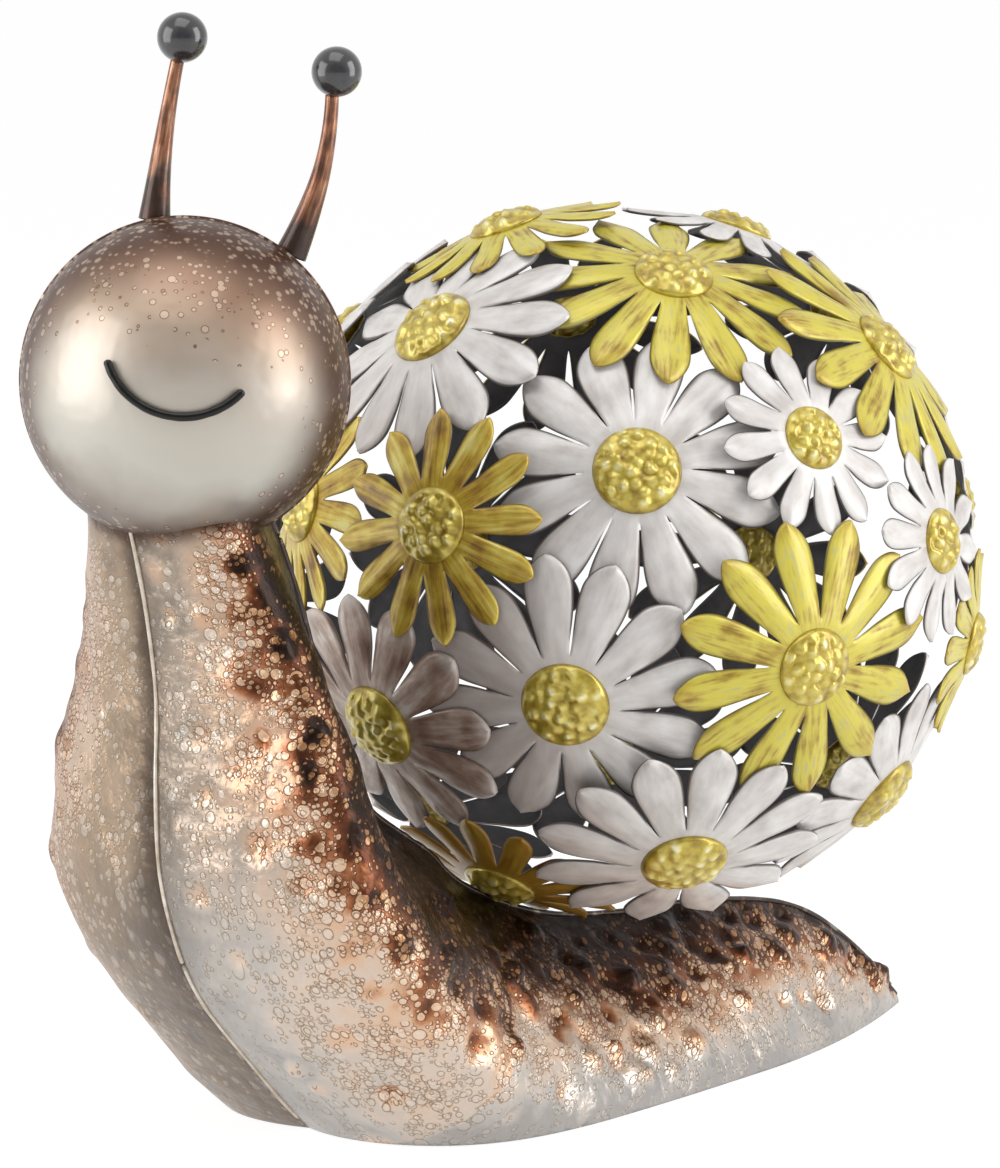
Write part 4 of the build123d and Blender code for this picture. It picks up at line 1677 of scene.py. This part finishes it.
@dataclass
class Studio:
    """Pale floor, soft lamps and the camera of the photograph.

    Attributes:
        azimuth: Direction of the camera round the ornament in degrees.
        elevation: Rise of the camera in degrees.
        camera_place: Place of the camera in millimetres.
        lens: Focal length in millimetres.
        sensor: Width of the sensor in millimetres.
        view_depth: How far the camera sees in metres.
        floor_size: Side of the floor in metres.
        floor_drop: How far the floor lies below the sole in millimetres.
        floor_grey: Reflectance of the floor.
        floor_glow: Light that the floor gives off to the eye.
        glow_share: Share of that light in what the eye sees of the floor.
        world_diffuse: Light that the studio throws on the ornament.
        world_sides: Brightness of the studio's sides in a reflection.
        world_front: Brightness of the studio behind the camera in a reflection.
        dim_from: Where the studio starts to dim, as a share towards the camera.
        dim_full: Where it is dimmest.
        lamp_target: What the lamps point at, in millimetres.
        lamps: Name, way right, way forward, height, width, length in metres, and power in watts.
    """

    azimuth: float = 44.0
    elevation: float = 8.0
    camera_place: Place = (1448.5, 1352.41, 413.77)
    lens: float = 221.64
    sensor: float = 36.0
    view_depth: float = 100.0
    floor_size: float = 24.0
    floor_drop: float = 0.2
    floor_grey: float = 0.9
    floor_glow: float = 1.235
    glow_share: float = 0.72
    world_diffuse: float = 0.4
    world_sides: float = 0.85
    world_front: float = 0.3
    dim_from: float = 0.45
    dim_full: float = 0.95
    lamp_target: Place = (40.0, 0.0, 130.0)
    lamps: tuple[tuple[str, float, float, float, float, float, float], ...] = (
        ("lamp_left", -1.0, 0.35, 0.3, 0.75, 1.0, 6.5),
        ("lamp_right", 1.0, 0.3, 0.3, 0.55, 1.2, 8.0),
        ("lamp_above", -0.1, 0.3, 1.2, 0.9, 0.9, 4.5),
    )

    def build_camera(self) -> None:
        """Places the camera at the photograph's viewing angle."""
        turn, lift = math.radians(self.azimuth), math.radians(self.elevation)
        back = Vector((math.cos(turn) * math.cos(lift), math.sin(turn) * math.cos(lift), math.sin(lift)))
        data = bpy.data.cameras.new("camera")
        data.lens = self.lens
        data.sensor_width = self.sensor
        data.clip_end = self.view_depth
        camera = bpy.data.objects.new("camera", data)
        camera.location = Vector(self.camera_place) * MM
        camera.rotation_euler = back.to_track_quat("Z", "Y").to_euler()
        bpy.context.scene.collection.objects.link(camera)
        bpy.context.scene.camera = camera
        self.right = Vector((-math.sin(turn), math.cos(turn), 0.0))
        self.toward = Vector((math.cos(turn), math.sin(turn), 0.0))

    def shown_white(self, tree: Tree) -> Socket:
        """Is 1 for rays that the eye follows: from the camera, a gloss or a glass."""
        path = add_node(tree, "ShaderNodeLightPath")
        gloss = add_node(tree, "ShaderNodeMath", MAXIMUM, {
            0: path.outputs["Is Camera Ray"], 1: path.outputs["Is Glossy Ray"]})
        both = add_node(tree, "ShaderNodeMath", MAXIMUM, {
            0: gloss.outputs[0], 1: path.outputs["Is Transmission Ray"]})
        return both.outputs[0]

    def build_world(self) -> None:
        """Lights the object from a white studio, dim behind the camera as a studio is."""
        world = bpy.data.worlds.new("studio")
        bpy.context.scene.world = world
        world.use_nodes = True
        tree = world.node_tree
        tree.nodes.clear()
        coordinates = add_node(tree, "ShaderNodeTexCoord")
        frontward = add_node(tree, "ShaderNodeVectorMath", DOT_PRODUCT,
                             {0: coordinates.outputs["Generated"], 1: self.toward})
        dimmed = add_node(tree, "ShaderNodeMapRange", SMOOTH, {
            "Value": frontward.outputs["Value"], "From Min": self.dim_from, "From Max": self.dim_full,
            "To Min": self.world_sides, "To Max": self.world_front})
        strength = add_node(tree, "ShaderNodeMix", inputs={
            "Factor": self.shown_white(tree), FROM_NUMBER: self.world_diffuse,
            TO_NUMBER: dimmed.outputs[0]})
        background = add_node(tree, "ShaderNodeBackground", inputs={
            "Color": PLAIN_WHITE, "Strength": strength.outputs[0]})
        add_node(tree, "ShaderNodeOutputWorld", inputs={"Surface": background.outputs[0]})

    def build_floor(self) -> None:
        """Lays a white floor that keeps a soft shadow."""
        bm = bmesh.new()
        bmesh.ops.create_grid(bm, x_segments=1, y_segments=1, size=0.5 * self.floor_size)
        mesh = bpy.data.meshes.new("floor")
        bm.to_mesh(mesh)
        bm.free()
        floor = bpy.data.objects.new("floor", mesh)
        floor.location.z = -self.floor_drop * MM
        bpy.context.scene.collection.objects.link(floor)
        material = bpy.data.materials.new("white_floor")
        material.use_nodes = True
        tree = material.node_tree
        tree.nodes.clear()
        matte = add_node(tree, "ShaderNodeBsdfDiffuse", inputs={"Color": (*[self.floor_grey] * 3, 1.0)})
        glow = add_node(tree, "ShaderNodeEmission", inputs={
            "Color": PLAIN_WHITE, "Strength": self.floor_glow})
        share = add_node(tree, "ShaderNodeMath", MULTIPLY, {0: self.shown_white(tree), 1: self.glow_share})
        mixed = add_node(tree, "ShaderNodeMixShader", inputs={
            0: share.outputs[0], 1: matte.outputs[0], 2: glow.outputs[0]})
        add_node(tree, "ShaderNodeOutputMaterial", inputs={"Surface": mixed.outputs[0]})
        mesh.materials.append(material)

    def build_lamps(self) -> None:
        """Hangs three soft boxes: left, right and overhead."""
        target = Vector(self.lamp_target) * MM
        for name, side, front, height, width, length, power in self.lamps:
            data = bpy.data.lights.new(name, "AREA")
            data.shape = "RECTANGLE"
            data.size = width
            data.size_y = length
            data.energy = power
            lamp = bpy.data.objects.new(name, data)
            lamp.location = target + self.right * side + self.toward * front + Vector((0.0, 0.0, height))
            lamp.rotation_euler = (lamp.location - target).to_track_quat("Z", "Y").to_euler()
            bpy.context.scene.collection.objects.link(lamp)

    def build(self) -> None:
        """Sets up the whole studio."""
        self.build_camera()
        self.build_world()
        self.build_floor()
        self.build_lamps()
        bpy.context.scene.view_settings.view_transform = "Standard"


# The ornament's own finishes

# Graphite primer, dipped: a flat dark grey inside that lets the pale lacquer stand out
GRAPHITE_PRIMER = MottlePaint(
    "graphite_primer", "dark_sole_paint", roughness=0.55, metallic=0.3,
    stops=((0.0, "3E3C3E"), (1.0, "545154")), mottle_size=9.0)
# Steel weld bead, brushed bright and lacquered, pale as a painted highlight line down the chest
BRIGHT_BEAD = MottlePaint(
    "bright_weld_bead", "bronze_body_paint", roughness=0.3, metallic=0.6, coat=0.3,
    stops=((0.0, "B9A893"), (1.0, "EDE4D6")), mottle_size=6.0)
# Steel weld bead, left brown under lacquer: a dark line on the ridge with light spots
DARK_BEAD = MottlePaint(
    "dark_weld_bead", "bronze_body_paint", roughness=0.25, metallic=0.5, coat=0.4,
    stops=((0.0, "2A1A12"), (0.6, "4B3A32"), (1.0, "B5A79A")), mottle_size=8.0)
# Black enamel, brushed on wire: near black with a narrow gloss along the bend
BLACK_WIRE = MottlePaint(
    "gloss_black_enamel", "black_smile_paint", roughness=0.28, coat=0.1, coat_roughness=0.08,
    specular=0.3, stops=((0.0, "060605"), (1.0, "15140F")), mottle_size=3.0)
# Black lacquer, dipped: a thick clear coat, so that the balls mirror the lamps as small spots
BLACK_BALL = MottlePaint(
    "gloss_black_lacquer", "black_tip_paint", roughness=0.2, coat=0.7, coat_roughness=0.08,
    stops=((0.0, "262427"), (1.0, "3B393C")), mottle_size=4.0)
# Gilt lacquer over hammered sheet: greenish gold hollows and pale gold beads, lighter on
# the bead tops and darker between them as painted highlight and shade
DOME_LACQUER = MottlePaint(
    "gilt_green_dome_lacquer", "yellow_centre_paint", roughness=0.3, metallic=0.35, coat=0.4,
    coat_roughness=0.12, stops=((0.0, "94782A"), (0.3, "C4AD40"), (0.6, "DECD6C"), (1.0, "FBF5D0")),
    mottle_size=4.0, height_share=0.55)
# Dark lacquer, rolled on the flat sole: dull brown that reads as the shadow line at the floor
SOLE_LACQUER = MottlePaint(
    "dark_sole_lacquer", "dark_sole_paint", roughness=0.6, stops=((0.0, "2B2320"), (1.0, "3C332E")),
    mottle_size=12.0)


def body_paints(head: HeadForm) -> tuple[BodyPaint, BodyPaint]:
    """Mixes the near half's pearl lacquer and a darker copy, partly painted shade, for the far half.

    Args:
        head: The head, round whose foot the lacquer is dark.

    Returns:
        Paint of the near half and of the far half.
    """
    shared = {"slot": "bronze_body_paint", "metallic": 0.65, "coat": 0.1, "coat_roughness": 0.12,
              "specular": 0.25, "head_centre": tuple(head.centre), "head_radius": head.radius}
    near = BodyPaint("spotted_pearl_lacquer", roughness=0.33, seam_shade=0.3, **shared)
    # The far half: darker, browner stops that are partly painted shade, and stronger painted shade at the
    # seam
    far = BodyPaint(
        "spotted_pearl_lacquer_shaded_far", roughness=0.36, seam_shade=0.85, bubble_fill=0.42, **shared,
        chest_stops=(
            (0.0, "7A6959"), (0.1, "97846F"), (0.25, "B29A83"), (0.4, "CBB5A1"),
            (0.54, "C2A188"), (0.66, "875638"), (0.74, "2B170D"), (1.0, "140C07")),
        foot_stops=(
            (0.0, "7C7168"), (0.14, "8E7E6E"), (0.28, "9A836C"), (0.4, "A18163"),
            (0.52, "94603E"), (0.63, "6B3C22"), (0.75, "2B170E"), (1.0, "160E09")))
    return near, far


def petal_paints(centre: Place) -> dict[PetalColour, StreakPaint]:
    """Mixes the petals' enamels, wiped lengthwise, with dark cut edges and painted shade at them.

    White is chalky with painted brown shade at the front, beside the neck, yellow is glazed
    lemon over brown with painted warm brown shade below, ochre is bronze with pale tips, and
    brown is a pearl wiped thin.

    Args:
        centre: Middle of the ball in millimetres, where the soot is reckoned from.

    Returns:
        The enamels by colour.
    """
    return {
        PetalColour.WHITE: StreakPaint(
            "white_pearl_enamel", "white_petal_paint", roughness=0.4, metallic=0.1, coat=0.2,
            coat_roughness=0.2,
            stops=((0.0, "C9C2BD"), (0.45, "DDD8D4"), (1.0, "EFECE9")), streak_width=3.5,
            # Painted brown shade at the front, beside the neck
            edge="574C45", cut_edge_and_shade_strength=0.9, soot_and_shade_colour="97796A", soot_and_shade_strength=0.75,
            soot_and_shade_centre=centre, soot_and_shade_from=(0.97, -0.15, -0.2), soot_and_shade_range=(82.0, 140.0)),
        PetalColour.YELLOW: StreakPaint(
            "yellow_glaze_enamel", "yellow_petal_paint", roughness=0.38, metallic=0.15, coat=0.3,
            coat_roughness=0.2,
            stops=((0.0, "94751F"), (0.22, "BBA23A"), (0.45, "D0C250"), (0.7, "DACB46"), (1.0, "C6BE74")),
            streak_width=1.3, edge="6A5A22", cut_edge_and_shade_strength=0.75, tip="B58A2E", tip_strength=0.45,
            # Painted warm brown shade towards the bottom of the ball
            soot_and_shade_colour="A0661C", soot_and_shade_strength=0.8, soot_and_shade_centre=centre,
            soot_and_shade_from=(0.5, -0.1, -0.86), soot_and_shade_range=(90.0, 125.0)),
        PetalColour.OCHRE: StreakPaint(
            "ochre_bronze_enamel", "ochre_petal_paint", roughness=0.38, metallic=0.2, coat=0.3,
            coat_roughness=0.2,
            stops=((0.0, "7E5C24"), (0.35, "BA9630"), (0.7, "D6BE4A"), (1.0, "E2D67C")),
            streak_width=1.3, edge="4E3C1C", cut_edge_and_shade_strength=0.5, tip="D2B24A", tip_strength=0.4),
        PetalColour.BROWN: StreakPaint(
            "browned_pearl_enamel", "brown_petal_paint", roughness=0.38, metallic=0.15, coat=0.25,
            coat_roughness=0.2,
            stops=((0.0, "84695A"), (0.4, "AA9080"), (0.75, "C9B7AA"), (1.0, "E2D8D0")),
            streak_width=2.4, edge="5A4438", cut_edge_and_shade_strength=0.6, tip="ECE4DD", tip_strength=0.7),
    }


def main() -> None:
    """Builds the ornament and its studio."""
    logging.basicConfig(level=logging.INFO, format="%(name)s: %(message)s")
    Studio().build()
    head = HeadForm()
    body = BodyForm()
    body.build(*body_paints(head), GRAPHITE_PRIMER)
    body.build_seams(BRIGHT_BEAD, DARK_BEAD)
    # Champagne pearl, sprayed on spun sheet: a satin face that glows a little in its own shade
    head_paint = HeadPaint("champagne_pearl_lacquer", "champagne_head_paint", roughness=0.36,
                           metallic=0.45, coat_roughness=0.25, centre=tuple(head.centre),
                           forward=tuple(head.forward), up=tuple(head.up), radius=head.radius)
    head.build_ball(head_paint, GRAPHITE_PRIMER)
    head.build_smile(BLACK_WIRE)
    # Copper lacquer, wiped along the drawn tube: lengthwise streaks, sooty brown at the foot,
    # its palest streaks being painted highlights
    copper = StreakPaint("wiped_copper_lacquer", "copper_stalk_paint", roughness=0.32, metallic=0.5,
                         coat=0.4, coat_roughness=0.12,
                         stops=((0.0, "432A1D"), (0.35, "7C4C31"), (0.62, "AD7656"), (1.0, "E2C4AE")),
                         streak_width=1.5, streak_length=12.0, cut_edge_and_shade_strength=0.0,
                         soot_and_shade_colour="2C1C14", soot_and_shade_strength=0.95, soot_and_shade_centre=tuple(head.centre),
                         soot_and_shade_from=tuple(-head.up), soot_and_shade_range=(-34.0, -16.0))
    head.build_stalks(copper, BLACK_BALL)
    ball = ShellBall()
    domes = DomeForm(ball)
    paints = petal_paints(tuple(ball.centre))
    for number, daisy in enumerate(DAISIES):
        ball.build_petals(daisy, paints[daisy.colour], GRAPHITE_PRIMER, seed=PETAL_SEED + number)
        domes.build(daisy, DOME_LACQUER, seed=DOME_SEED + number)
    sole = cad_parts["sole_plate"]
    sole.data.materials.clear()
    sole.data.materials.append(SOLE_LACQUER.material())


if __name__ == "__main__":
    main()
